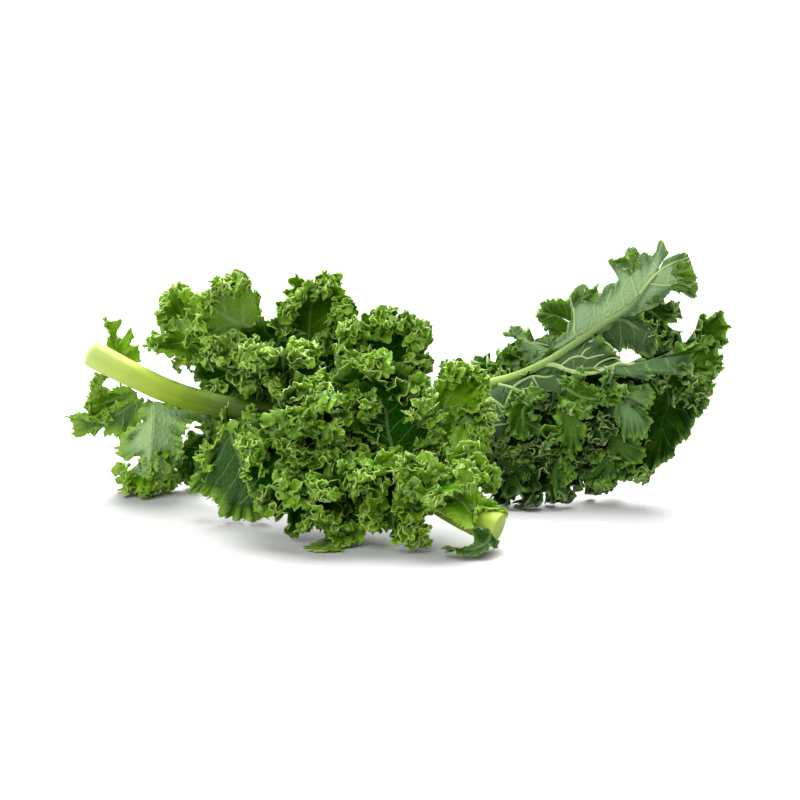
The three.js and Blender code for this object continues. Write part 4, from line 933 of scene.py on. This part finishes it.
RIGHT_UPPER = [
    (0, sheet(0.36, [(90, 50, 82), (106, 51, 93), (122, 52, 103), (127, 53, 109), (131, 53, 114),
                     (139, 54, 118), (147, 55, 121)],
              (0, 1, 0.1), 0.15, [
        (76, 50, 73), (80, 51, 80), (86, 52, 85), (89, 53, 91), (87, 55, 98), (87, 56, 102),
        (90, 57, 106), (94, 58, 108), (97, 58, 105), (102, 59, 108), (103, 59, 104), (108, 59, 107),
        (112, 59, 111), (112, 60, 115), (108, 60, 121), (114, 59, 122), (116, 59, 126), (120, 58, 128),
        (122, 58, 124), (123, 57, 120), (125, 58, 125), (129, 58, 124), (132, 59, 129), (134, 60, 131),
        (136, 59, 127), (138, 58, 124), (134, 57, 120), (134, 56, 118), (138, 57, 122), (144, 59, 124),
        (147, 60, 124), (150, 60, 120), (152, 59, 115), (153, 58, 108), (152, 58, 101), (147, 57, 104),
        (142, 55, 106), (137, 54, 102), (132, 52, 98), (125, 51, 96), (116, 50, 91), (103, 50, 85),
        (93, 50, 79), (84, 49, 72)],
        ruffle=0.3, frill=0.15, tooth=0.4, fan=0.92, spacing=0.7, veins=[
            ([(122, 103), (120, 109), (119, 113), (121, 119)], 0.8, 0.4),
            ([(128, 110), (134, 109), (140, 109), (145, 111)], 0.7, 0.4),
            ([(93, 80), (90, 85), (90, 91), (89, 98), (87, 103)], 0.9, 0.5),
            ([(101, 90), (100, 96), (101, 100), (103, 104)], 0.5, 0.3),
            ([(109, 95), (107, 100), (109, 106)], 0.5, 0.3),
            ([(116, 99), (114, 104), (116, 110), (119, 113)], 0.5, 0.3),
            ([(123, 104), (128, 111), (133, 116), (140, 120), (148, 122)], 0.8, 0.4)])),
    (17, sheet(0.7, [(119, 54, 116), (118, 54, 121), (116, 55, 125)], (0, -1, 0), 0.2, [
        (111, 54, 120), (108, 55, 122), (112, 55, 123), (115, 55, 124), (117, 56, 126), (120, 56, 127),
        (122, 56, 127), (121, 55, 125), (122, 55, 121), (123, 54, 118), (118, 54, 117), (113, 54, 118)],
        fan=0.93, ruffle=0.3, frill=0.3, tint=0.4)),
    (18, sheet(0.7, [(139, 54, 115), (145, 53, 116), (149, 54, 117)], (0, -1, 0), 0.2, [
        (142, 54, 117), (143, 54, 120), (147, 54, 122), (149, 54, 120), (150, 54, 117), (152, 54, 114),
        (151, 54, 111), (147, 54, 111), (143, 54, 112)],
        fan=0.93, ruffle=0.3, frill=0.3, tint=0.5)),
    (19, sheet(0.7, [(138, 54, 107), (144, 53, 108), (150, 54, 104)], (0, -1, 0), 0.2, [
        (139, 54, 106), (140, 54, 109), (144, 53, 111), (148, 53, 110), (152, 53, 109), (151, 54, 106),
        (153, 54, 102), (150, 54, 102), (146, 54, 105), (142, 54, 105)],
        fan=0.93, ruffle=0.3, frill=0.3, tint=0.1)),
    (20, sheet(0.5, [(93, 53, 101), (97, 53, 104), (101, 55, 106)], (0, -1, 0), 0.2, [
        (88, 54, 104), (91, 54, 106), (96, 53, 106), (99, 54, 107), (102, 56, 108), (102, 55, 104),
        (101, 54, 101), (97, 54, 100), (92, 54, 101)],
        fan=0.93, ruffle=0.3, frill=0.3, tint=0.1)),
    (7, sheet(0.36, [(92, 57, 84), (82, 61, 91), (72, 64, 92)], (0, 1, 0.1), 0.3, [
        (90, 58, 100), (84, 60, 100), (78, 61, 100), (73, 62, 97), (73, 64, 93), (70, 63, 89),
        (73, 62, 86), (76, 61, 83), (76, 60, 80), (81, 59, 79), (88, 57, 80), (93, 56, 87)],
        fan=0.92, ruffle=0.3, frill=0.6, flip=1, tint=0.25)),
    (8, sheet(0.3, [(79, 53, 75), (67, 56, 78), (56, 60, 81)], (0, 1, 0.1), 0.2, [
        (83, 54, 81), (75, 56, 80), (68, 57, 80), (66, 58, 83), (67, 60, 85), (62, 61, 82),
        (59, 61, 85), (55, 62, 81), (59, 60, 77), (63, 57, 72), (70, 54, 67), (80, 52, 67)],
        fan=0.92, ruffle=0.3, frill=0.4)),
    (22, sheet(0.66, [(90, 51, 79), (83, 54, 75), (75, 57, 74), (67, 60, 75)], (0, 1, 0.1), 0.2, [
        (93, 51, 83), (91, 53, 86), (88, 55, 86), (86, 56, 83), (83, 57, 84), (81, 57, 82),
        (78, 58, 81), (73, 59, 79), (69, 60, 76), (64, 60, 73), (63, 58, 67), (67, 55, 64),
        (72, 53, 67), (79, 52, 71), (86, 50, 76)],
        fan=0.92, ruffle=0.3, frill=0.3, spacing=0.7, ribs=0.2, tint=0.1)),
    (9, sheet(0.3, [(75, 56, 67), (65, 62, 70), (55, 66, 71)], (0, -1, 0.3), 0.3, [
        (73, 58, 73), (65, 60, 74), (60, 62, 73), (56, 64, 75), (54, 66, 70), (53, 64, 66),
        (58, 62, 65), (62, 60, 68), (68, 58, 66), (75, 56, 65)],
        tint=0.3, tufts=[(8, 0.4, 0.95, -0.9, 0.9, 7)])),
    (6, sheet(0.3, [(75, 58, 65), (52, 64, 59), (27, 70, 55)], (0, -1, 0.2), 0.3, [
        (75, 60, 70), (68, 64, 67), (60, 68, 65), (52, 72, 63), (47, 72, 64), (41, 73, 64),
        (35, 73, 62), (28, 74, 60), (22, 74, 55), (21, 70, 49), (31, 65, 47), (52, 60, 51),
        (75, 56, 62)], tint=0.2, tufts=[(14, 0.6, 0.97, -0.9, 0.2, 7)])),
    (1, sheet(0.42, [(92, 40, 68), (113, 36, 70), (133, 32, 74), (144, 29, 79)], (0, 1, 0.2), 0.2, [
        (78, 46, 73), (90, 46, 79), (102, 45, 84), (107, 44, 79), (112, 44, 74), (115, 40, 69),
        (124, 37, 72), (130, 35, 72), (137, 33, 75), (143, 31, 80), (148, 30, 83), (150, 28, 78),
        (147, 25, 71), (142, 26, 70), (136, 27, 68), (130, 29, 68), (127, 30, 65), (122, 32, 66),
        (113, 35, 66), (103, 37, 67), (90, 40, 67), (80, 42, 68)],
        ruffle=0.15, frill=0.5, back=0.75, spacing=0.65, veins=[
            ([(75, 69), (80, 69), (86, 67), (93, 66), (100, 67), (106, 69), (112, 71), (120, 72)], 1.4, 0.8),
            ([(83, 69), (88, 73), (93, 74), (96, 73), (100, 74), (105, 75)], 0.7, 0.4),
            ([(99, 68), (101, 70), (105, 72), (110, 73), (115, 71), (118, 70)], 0.6, 0.4),
            ([(93, 74), (95, 77), (99, 79)], 0.5, 0.4),
            ([(97, 81), (102, 82), (107, 80), (111, 76)], 0.6, 0.4)])),
    (15, sheet(0.7, [(140, 30, 76), (153, 27, 83), (158, 24, 91), (159, 22, 99)], (0, -1, 0.1), 0.7, [
        (152, 26, 84), (150, 25, 89), (153, 24, 94), (154, 23, 99), (157, 22, 103), (161, 21, 101),
        (164, 20, 97), (166, 20, 92), (164, 20, 87), (161, 22, 84), (156, 24, 83)],
        ruffle=0.3, frill=0.6, tooth=0.6, back=0.85, tint=0.35)),
    (16, sheet(0.7, [(138, 30, 74), (147, 26, 80), (153, 24, 77), (158, 22, 74)], (0, -0.8, 0.6), 0.4, [
        (142, 27, 81), (145, 26, 84), (150, 25, 86), (156, 24, 84), (160, 22, 86), (163, 21, 84),
        (163, 21, 77), (160, 21, 72), (155, 21, 67), (152, 22, 68), (149, 24, 73), (144, 27, 75)],
        ruffle=0.4, frill=0.7, tooth=0.6, tint=0.3, tufts=[(3, 0.7, 0.95, -0.9, 0.9, 6)])),
    (10, sheet(0.66, [(113, 50, 92), (121, 47, 88), (131, 44, 79)], (0, -1, -0.1), 0.4, [
        (105, 50, 89), (105, 49, 84), (108, 48, 79), (113, 46, 75), (119, 45, 77), (125, 44, 74),
        (130, 44, 73), (133, 43, 78), (132, 45, 84), (127, 47, 89), (126, 49, 95), (122, 51, 98)],
        ruffle=0.3, frill=0.3, flip=1, back=0.82, tint=-0.25)),
    (11, sheet(0.8, [(128, 52, 96), (136, 50, 90), (144, 46, 79)], (0, -1, 0), 0.3, [
        (127, 52, 101), (133, 52, 101), (138, 51, 99), (142, 50, 101), (144, 50, 96), (140, 48, 93),
        (138, 47, 88), (143, 46, 84), (146, 44, 79), (140, 46, 75), (133, 47, 77), (129, 48, 84),
        (125, 50, 91)], ruffle=0.5, tint=-0.1, tufts=[(2, 0.3, 0.8, -0.9, 0.9, 6)])),
    (21, sheet(0.78, [(129, 49, 73), (137, 48, 76), (145, 47, 76)], (0, -1, 0.2), 0.3, [
        (126, 49, 78), (129, 49, 82), (131, 49, 86), (134, 48, 87), (137, 48, 84), (141, 48, 81),
        (144, 47, 80), (148, 47, 78), (150, 47, 75), (146, 46, 72), (140, 46, 69), (134, 47, 67),
        (129, 48, 66), (125, 49, 70)],
        fan=0.9, ruffle=0.5, tint=-0.25)),
]
RIGHT_LOWER = [
    # Lobes 2 and 3 are dark backing lobes low behind the others: their deep tint is painted shade in the
    # hollows under the leaf.
    (2, lobe(0.34, [(56, 52, 40), (60, 40, 20), (61, 17, 3)], (-0.2, -1, 0.3), 21, 0.1, 0.4, tint=-0.6,
             spacing=0.8, tuft_back=0.9, tufts=[(4, 0.4, 0.97, -0.7, 0.7, 10)])),
    (3, lobe(0.42, [(78, 44, 38), (80, 36, 18), (80, 19, 4)], (0, -1, 0.2), 18, 0.25, 0.4, tint=-0.6,
             spacing=0.8, tuft_back=0.9, tufts=[(5, 0.4, 0.97, -0.7, 0.7, 10)])),
    (15, sheet(0.42, [(54, 43, 58), (51, 40, 48), (48, 38, 34)], (0, 1, 0), 0.2, [
        (75, 44, 64), (83, 43, 65), (90, 42, 64), (93, 41, 58), (86, 40, 53), (76, 40, 51), (67, 39, 53),
        (59, 38, 49), (56, 38, 42), (56, 38, 35), (52, 37, 30), (46, 37, 29), (40, 38, 31), (37, 40, 40),
        (38, 41, 50), (42, 43, 56)],
        ruffle=0.1, frill=0.2, back=0.72, tint=-0.25, ribs=-0.5, spacing=0.7, veins=[
            ([(51, 58), (58, 57), (66, 54)], 1.1, 0.6),
            ([(58, 57), (62, 60), (68, 63), (76, 63), (82, 65)], 0.8, 0.5),
            ([(68, 63), (70, 60), (72, 56)], 0.6, 0.4),
            ([(43, 54), (50, 50), (54, 47)], 1.0, 0.6),
            ([(50, 50), (52, 46), (54, 42)], 0.6, 0.4),
            ([(43, 54), (45, 45), (46, 38), (47, 32)], 0.7, 0.5),
            ([(54, 47), (55, 51), (58, 57)], 0.6, 0.5),
            ([(45, 45), (50, 43), (54, 44)], 0.6, 0.4),
            ([(46, 38), (52, 39), (55, 39)], 0.6, 0.4)])),
    (16, sheet(0.5, [(67, 39, 54), (63, 36, 47), (64, 34, 40), (66, 33, 33)], (0.3, -1, 0.2), 0.35, [
        (66, 39, 56), (62, 38, 56), (58, 38, 53), (55, 37, 50), (53, 36, 47), (54, 35, 43),
        (54, 34, 39), (56, 34, 36), (58, 33, 34), (61, 33, 33), (64, 33, 32), (67, 33, 31),
        (70, 33, 33), (72, 33, 35), (72, 34, 38), (70, 35, 42), (68, 36, 45), (70, 37, 48),
        (73, 38, 51), (76, 39, 53), (72, 39, 56)],
        ruffle=0.35, frill=0.7, tint=0.3)),
    (26, sheet(0.5, [(63, 33, 52), (66, 32, 57), (73, 33, 56)], (0, -0.6, 0.8), 0.5, [
        (61, 34, 51), (59, 34, 54), (61, 33, 58), (65, 33, 59), (70, 33, 60), (73, 33, 58),
        (76, 34, 55), (74, 33, 54), (70, 32, 54), (67, 32, 53), (64, 33, 51)],
        fan=0.9, ruffle=0.4, frill=0.6, tint=0.6)),
    (17, sheet(0.55, [(80, 42, 53), (78, 42, 44), (77, 42, 35)], (0, -1, 0.2), 0.9, [
        (75, 38, 53), (78, 36, 52), (82, 37, 50), (85, 38, 45), (86, 38, 39), (83, 38, 34), (78, 39, 30),
        (73, 40, 31), (69, 42, 36), (69, 42, 44)],
        ruffle=0.5, tint=-0.5, spacing=0.8)),
    (18, sheet(0.62, [(86, 37, 58), (94, 34, 54), (106, 33, 54), (114, 32, 55)], (0, -0.8, 0.6), 0.3, [
        (84, 37, 56), (83, 37, 61), (84, 37, 64), (88, 36, 66), (91, 36, 64), (93, 35, 65),
        (96, 35, 62), (99, 34, 61), (102, 34, 59), (106, 33, 59), (110, 33, 57), (113, 33, 58),
        (117, 32, 57), (115, 32, 54), (111, 32, 53), (106, 32, 52), (102, 32, 50), (98, 32, 49),
        (95, 33, 47), (91, 34, 48), (87, 35, 49), (85, 36, 52)],
        ruffle=0.35, frill=0.7, tint=0.4, tuft_tint=-0.1, tufts=[(4, 0.8, 0.97, -0.9, 0.2, 6)])),
    (27, sheet(0.62, [(108, 35, 69), (107, 33, 64), (106, 31, 58)], (0, 1, 0), 0.3, [
        (103, 31, 58), (103, 32, 62), (105, 33, 65), (106, 35, 69), (108, 35, 70), (109, 34, 67),
        (110, 33, 63), (111, 32, 59), (108, 31, 57)],
        fan=0.9, ruffle=0.4, frill=0.4, back=0.15, ribs=0.2)),
    (19, sheet(0.6, [(86, 34, 49), (88, 32, 40), (88, 31, 32), (88, 30, 25)], (0, 1, 0.1), 0.3, [
        (83, 35, 52), (85, 34, 49), (87, 33, 47), (89, 33, 48), (91, 32, 51), (94, 31, 49),
        (95, 31, 46), (93, 31, 43), (95, 31, 39), (94, 31, 36), (94, 31, 33), (92, 30, 31),
        (92, 30, 27), (90, 30, 25), (89, 30, 22), (87, 30, 24), (85, 31, 28), (84, 31, 31),
        (83, 32, 35), (82, 32, 40), (81, 33, 44), (82, 34, 48)],
        ruffle=0.4, frill=0.8, back=0.92, ribs=-0.4, tint=0.4, tufts=[(4, 0.8, 0.97, 0.1, 0.9, 4)])),
    (20, sheet(0.7, [(106, 44, 50), (106, 42, 37), (106, 42, 24)], (0, -1, 0), 0.3, [
        (99, 42, 48), (97, 42, 40), (98, 41, 32), (101, 40, 24), (106, 40, 20), (111, 40, 23),
        (115, 41, 30), (117, 41, 38), (115, 42, 47), (109, 42, 51)],
        tint=-0.6, spacing=0.8, tuft_back=0.9, tufts=[(4, 0.4, 0.95, -0.9, 0.9, 8)])),
    (21, sheet(0.6, [(81, 32, 19), (81, 27, 14), (79, 22, 8)], (0, 1, 0.1), 0.3, [
        (75, 33, 20), (77, 33, 21), (79, 33, 20), (82, 33, 21), (85, 32, 20), (88, 31, 19),
        (89, 30, 16), (87, 28, 15), (86, 27, 12), (86, 25, 10), (84, 23, 8), (82, 23, 9), (81, 22, 6),
        (78, 21, 4), (75, 21, 5), (76, 24, 8), (78, 26, 10), (77, 28, 13), (75, 30, 16), (75, 32, 18)],
        ruffle=0.4, frill=0.8, back=0.9, ribs=-0.4, tint=0.35, tufts=[(3, 0.8, 0.97, 0.1, 0.9, 4)])),
    (22, sheet(0.5, [(56, 34, 20), (59, 29, 15), (57, 22, 8)], (0, 1, 0.1), 0.3, [
        (53, 34, 19), (54, 34, 23), (57, 34, 22), (59, 32, 19), (62, 31, 19), (65, 31, 19),
        (68, 29, 16), (69, 27, 14), (66, 26, 13), (62, 26, 12), (60, 25, 10), (62, 23, 8), (63, 22, 6),
        (59, 21, 5), (57, 20, 4), (54, 20, 5), (51, 22, 6), (51, 25, 9), (52, 27, 12), (52, 31, 16)],
        ruffle=0.4, frill=0.8, back=0.92, ribs=-0.4, tint=0.15, tufts=[(3, 0.8, 0.97, -0.9, 0.9, 4)])),
    (28, sheet(0.4, [(47, 35, 26), (47, 33, 18), (46, 29, 12)], (0, -1, 0), 0.4, [
        (43, 35, 27), (46, 35, 28), (49, 35, 27), (51, 35, 29), (53, 35, 31), (53, 35, 26),
        (52, 35, 23), (53, 34, 19), (52, 32, 15), (51, 29, 11), (47, 27, 8), (42, 28, 10),
        (40, 32, 16), (40, 34, 23)],
        fan=0.85, ruffle=0.5, frill=0.8, tint=-0.05)),
    (29, sheet(0.55, [(68, 32, 24), (73, 32, 28), (77, 32, 33)], (0, -1, 0.2), 0.9, [
        (65, 30, 23), (65, 30, 26), (67, 30, 29), (70, 30, 30), (72, 30, 34), (75, 30, 36),
        (78, 30, 38), (79, 29, 34), (77, 29, 31), (77, 29, 27), (74, 29, 24), (71, 29, 23),
        (68, 29, 21)],
        fan=0.9, ruffle=0.6, frill=1, tint=0.1)),
    (30, curl(0.5, [(61, 34, 26), (61, 34, 22)], 0.3, [
        (60, 33, 27), (58, 32, 26), (58, 31, 24), (59, 29, 22), (61, 29, 21), (63, 29, 21),
        (64, 31, 24), (64, 32, 26), (62, 33, 28)])),
    (31, curl(0.6, [(105, 37, 41), (105, 37, 38)], 0.2, [
        (104, 36, 42), (102, 35, 42), (102, 34, 40), (103, 32, 39), (105, 32, 38), (106, 32, 39),
        (107, 34, 40), (107, 35, 42), (106, 36, 43)])),
    (32, curl(0.6, [(103, 36, 34), (103, 36, 31)], 0.2, [
        (102, 35, 35), (99, 34, 34), (100, 33, 33), (100, 31, 32), (103, 31, 31), (105, 31, 32),
        (106, 33, 33), (106, 34, 34), (104, 35, 34)])),
    (33, curl(0.6, [(101, 36, 24), (101, 36, 20)], 0.1, [
        (100, 35, 26), (99, 34, 24), (99, 33, 22), (99, 31, 20), (101, 31, 20), (102, 31, 21),
        (104, 33, 22), (103, 34, 24), (102, 35, 25)])),
    (34, sheet(0.7, [(96, 33, 8), (102, 32, 7), (107, 33, 9)], (0, -1, 0.1), 0.3, [
        (93, 33, 8), (94, 34, 11), (98, 34, 10), (103, 34, 10), (107, 35, 11), (110, 34, 12),
        (109, 32, 9), (106, 31, 6), (103, 30, 5), (100, 30, 4), (98, 31, 6), (96, 32, 6)],
        fan=0.9, ruffle=0.5, tint=-0.2)),
    (35, curl(0.9, [(133, 35, 62), (133, 35, 58)], -0.2, [
        (132, 34, 63), (131, 33, 62), (130, 32, 60), (131, 30, 59), (132, 30, 59), (134, 30, 58),
        (134, 32, 60), (134, 33, 62), (133, 34, 64)])),
    (36, curl(0.9, [(143, 37, 55), (143, 37, 52)], -0.2, [
        (142, 36, 56), (140, 35, 55), (139, 34, 54), (141, 32, 53), (143, 32, 53), (145, 32, 53),
        (146, 34, 54), (146, 35, 55), (144, 36, 57)])),
    (37, curl(0.9, [(150, 38, 51), (150, 38, 48)], -0.2, [
        (149, 37, 52), (147, 36, 51), (146, 35, 50), (148, 33, 49), (150, 33, 47), (152, 33, 48),
        (153, 35, 50), (153, 36, 51), (151, 37, 52)])),
    (23, sheet(0.45, [(48, 36, 31), (46, 34, 26), (45, 33, 21)], (0, -1, 0.3), 0.5, [
        (43, 36, 32), (42, 34, 27), (42, 33, 22), (46, 34, 19), (50, 34, 21), (53, 35, 25), (54, 35, 30),
        (51, 36, 32)], fan=0.9, ruffle=0.5, tint=-0.1)),
    (24, sheet(0.5, [(62, 35, 28), (63, 32, 25), (64, 31, 21)], (0, -1, 0.4), 0.9, [
        (58, 33, 28), (59, 32, 24), (61, 31, 20), (64, 32, 18), (67, 32, 21), (67, 32, 26), (64, 33, 29)],
        fan=0.9, ruffle=0.5, tint=0.2)),
    (25, sheet(0.58, [(75, 35, 29), (75, 32, 26), (75, 31, 22)], (0, -1, 0.4), 0.8, [
        (68, 33, 29), (69, 32, 24), (72, 31, 21), (77, 32, 20), (81, 32, 24), (82, 32, 29), (79, 33, 32)],
        fan=0.9, ruffle=0.6, tufts=[(4, 0.6, 0.95, -0.9, 0.9, 6)])),
    (4, lobe(0.53, [(108, 45, 50), (104, 37, 9)], (0.1, -1, 0), 20, 0.2, 0.3, tint=-0.5,
             spacing=0.8, tuft_back=0.9, tufts=[(4, 0.2, 0.8, -0.6, 0.7, 12)])),
    (5, sheet(0.6, [(135, 42, 61), (138, 43, 42), (124, 35, 20)], (0, -1, -0.1), 0.2, [
        (133, 40, 69), (146, 41, 68), (154, 43, 60), (161, 44, 58), (158, 45, 52), (160, 46, 48),
        (157, 46, 43), (153, 46, 38), (150, 44, 31), (144, 42, 26), (140, 38, 20), (133, 35, 17),
        (128, 32, 13), (121, 30, 12), (115, 29, 10), (110, 29, 12), (107, 29, 7), (101, 29, 6),
        (96, 30, 9), (102, 34, 16), (110, 37, 31), (114, 38, 46), (120, 38, 61)],
        ruffle=0.15, frill=0.7, tooth=0.7, back=0.92, tint=-0.02, tuft_tint=0.4, ribs=-0.2, spacing=0.6,
        tufts=[(5, 0.8, 0.97, -0.98, -0.6, 6), (16, 0.88, 0.97, 0.0, 0.98, 5)])),
    (12, sheet(0.5, [(122, 34, 55), (120, 32, 47), (119, 31, 40), (119, 30, 35)], (0, 1, -0.2), 0.3, [
        (115, 34, 52), (117, 34, 54), (120, 34, 55), (122, 34, 58), (126, 33, 60), (130, 32, 57),
        (130, 31, 54), (128, 30, 51), (125, 30, 47), (129, 30, 44), (129, 30, 40), (126, 30, 37),
        (125, 30, 33), (122, 30, 34), (120, 30, 32), (118, 31, 33), (116, 31, 32), (114, 31, 37),
        (113, 32, 42), (113, 33, 47)],
        ruffle=0.3, frill=0.8, back=0.6, ribs=-0.3, tint=0.3)),
    (13, sheet(0.46, [(120, 34, 28), (111, 33, 23), (104, 32, 16), (98, 31, 12)], (0, 1, 0.2), 0.3, [
        (113, 35, 28), (116, 35, 30), (118, 35, 31), (121, 34, 31), (124, 34, 30), (126, 33, 28),
        (125, 33, 24), (124, 32, 21), (120, 32, 20), (117, 32, 18), (114, 32, 18), (112, 31, 15),
        (109, 31, 13), (106, 30, 11), (103, 30, 9), (100, 30, 10), (97, 31, 10), (94, 31, 12),
        (98, 32, 13), (100, 33, 16), (103, 34, 20), (107, 34, 24), (110, 35, 26)],
        ruffle=0.35, frill=0.8, back=0.92, ribs=-0.4, tint=0.2)),
    (38, curl(0.8, [(118, 33, 19), (118, 33, 17)], 0.2, [
        (117, 32, 20), (114, 31, 20), (115, 30, 19), (115, 28, 18), (118, 28, 17), (120, 28, 18),
        (121, 30, 19), (121, 31, 20), (119, 32, 20)])),
]
# Its greens are darker than the other leaves', partly its own colour and partly painted shade over its lower
# lobes.
right_leaf = {
    "stem": RIGHT_STEM, "inner": RIGHT_INNER, "wrap": RIGHT_WRAP, "seed": 41,
    "node": "right_leaf_blade", "slot": "blade_underside",
    "material": blade_material("kale_leaf_right", "#183804", "#5a8a10", "#b0c478", "#9cbe8a", "#b4ca88", 4)}
blade_piece("right_leaf_upper_lobes", RIGHT_UPPER, right_leaf)
blade_piece("right_leaf_lower_lobes", RIGHT_LOWER, right_leaf)

# The set: a plain pale table, a large soft lamp above and behind, a weaker one at the front, and a white
# surround, as for a product photo.
TABLE_HALF = 8  # metres
floor_mesh = bpy.data.meshes.new("floor")
corners = [(x * TABLE_HALF, y * TABLE_HALF, 0) for x, y in ((-1, -1), (1, -1), (1, 1), (-1, 1))]
floor_mesh.from_pydata(corners, [], [(0, 1, 2, 3)])
floor = bpy.data.objects.new("floor", floor_mesh)
bpy.context.scene.collection.objects.link(floor)
paper, tree = empty_material("matt_white_paper")
where = add(tree, "ShaderNodeTexCoord").node.outputs["Object"]
grain = add(tree, "ShaderNodeTexNoise", {"Vector": where, "Scale": 400.0})
tone = add(tree, "ShaderNodeMapRange", {0: grain, 3: 0.49, 4: 0.51})
white = add(tree, "ShaderNodeBsdfPrincipled", {"Base Color": tone, "Roughness": 0.6})
add(tree, "ShaderNodeOutputMaterial", {"Surface": white})
floor_mesh.materials.append(paper)

world = bpy.data.worlds.new("white_surround")
bpy.context.scene.world = world
world.use_nodes = True
world.node_tree.nodes["Background"].inputs["Color"].default_value = (1, 1, 1, 1)
world.node_tree.nodes["Background"].inputs["Strength"].default_value = 0.12


def far_lamp(name, azimuth, elevation, spread, strength):
    """A wide soft lamp so far off that it lights the whole table evenly. Angles are in degrees: azimuth 0 is
    in front of the bunch and 90 to its right, and spread is how wide the lamp looks from the table."""
    data = bpy.data.lights.new(name, "SUN")
    data.angle, data.energy = math.radians(spread), strength
    lamp = bpy.data.objects.new(name, data)
    bpy.context.scene.collection.objects.link(lamp)
    lamp.rotation_euler = (math.radians(90 - elevation), 0, math.radians(azimuth))


far_lamp("lamp_above", 174, 56, 56, 10.4)
far_lamp("lamp_front", -35, 46, 60, 2.8)

EYE_DISTANCE = 1400
EYE_HEIGHT = math.radians(15)  # elevation of the view above the table
LOOKS_AT = np.array([0, 0, 62]) + BUNCH_PLACE
lens = bpy.data.cameras.new("camera")
lens.sensor_width, lens.lens = 36, 126
lens.clip_start, lens.clip_end = 0.05, 50
camera = bpy.data.objects.new("camera", lens)
bpy.context.scene.collection.objects.link(camera)
back = np.array([0, -math.cos(EYE_HEIGHT), math.sin(EYE_HEIGHT)])
camera.location = (LOOKS_AT + EYE_DISTANCE * back) * MM
camera.rotation_euler = (math.pi / 2 - EYE_HEIGHT, 0, 0)
bpy.context.scene.camera = camera
bpy.context.scene.view_settings.view_transform = "Standard"
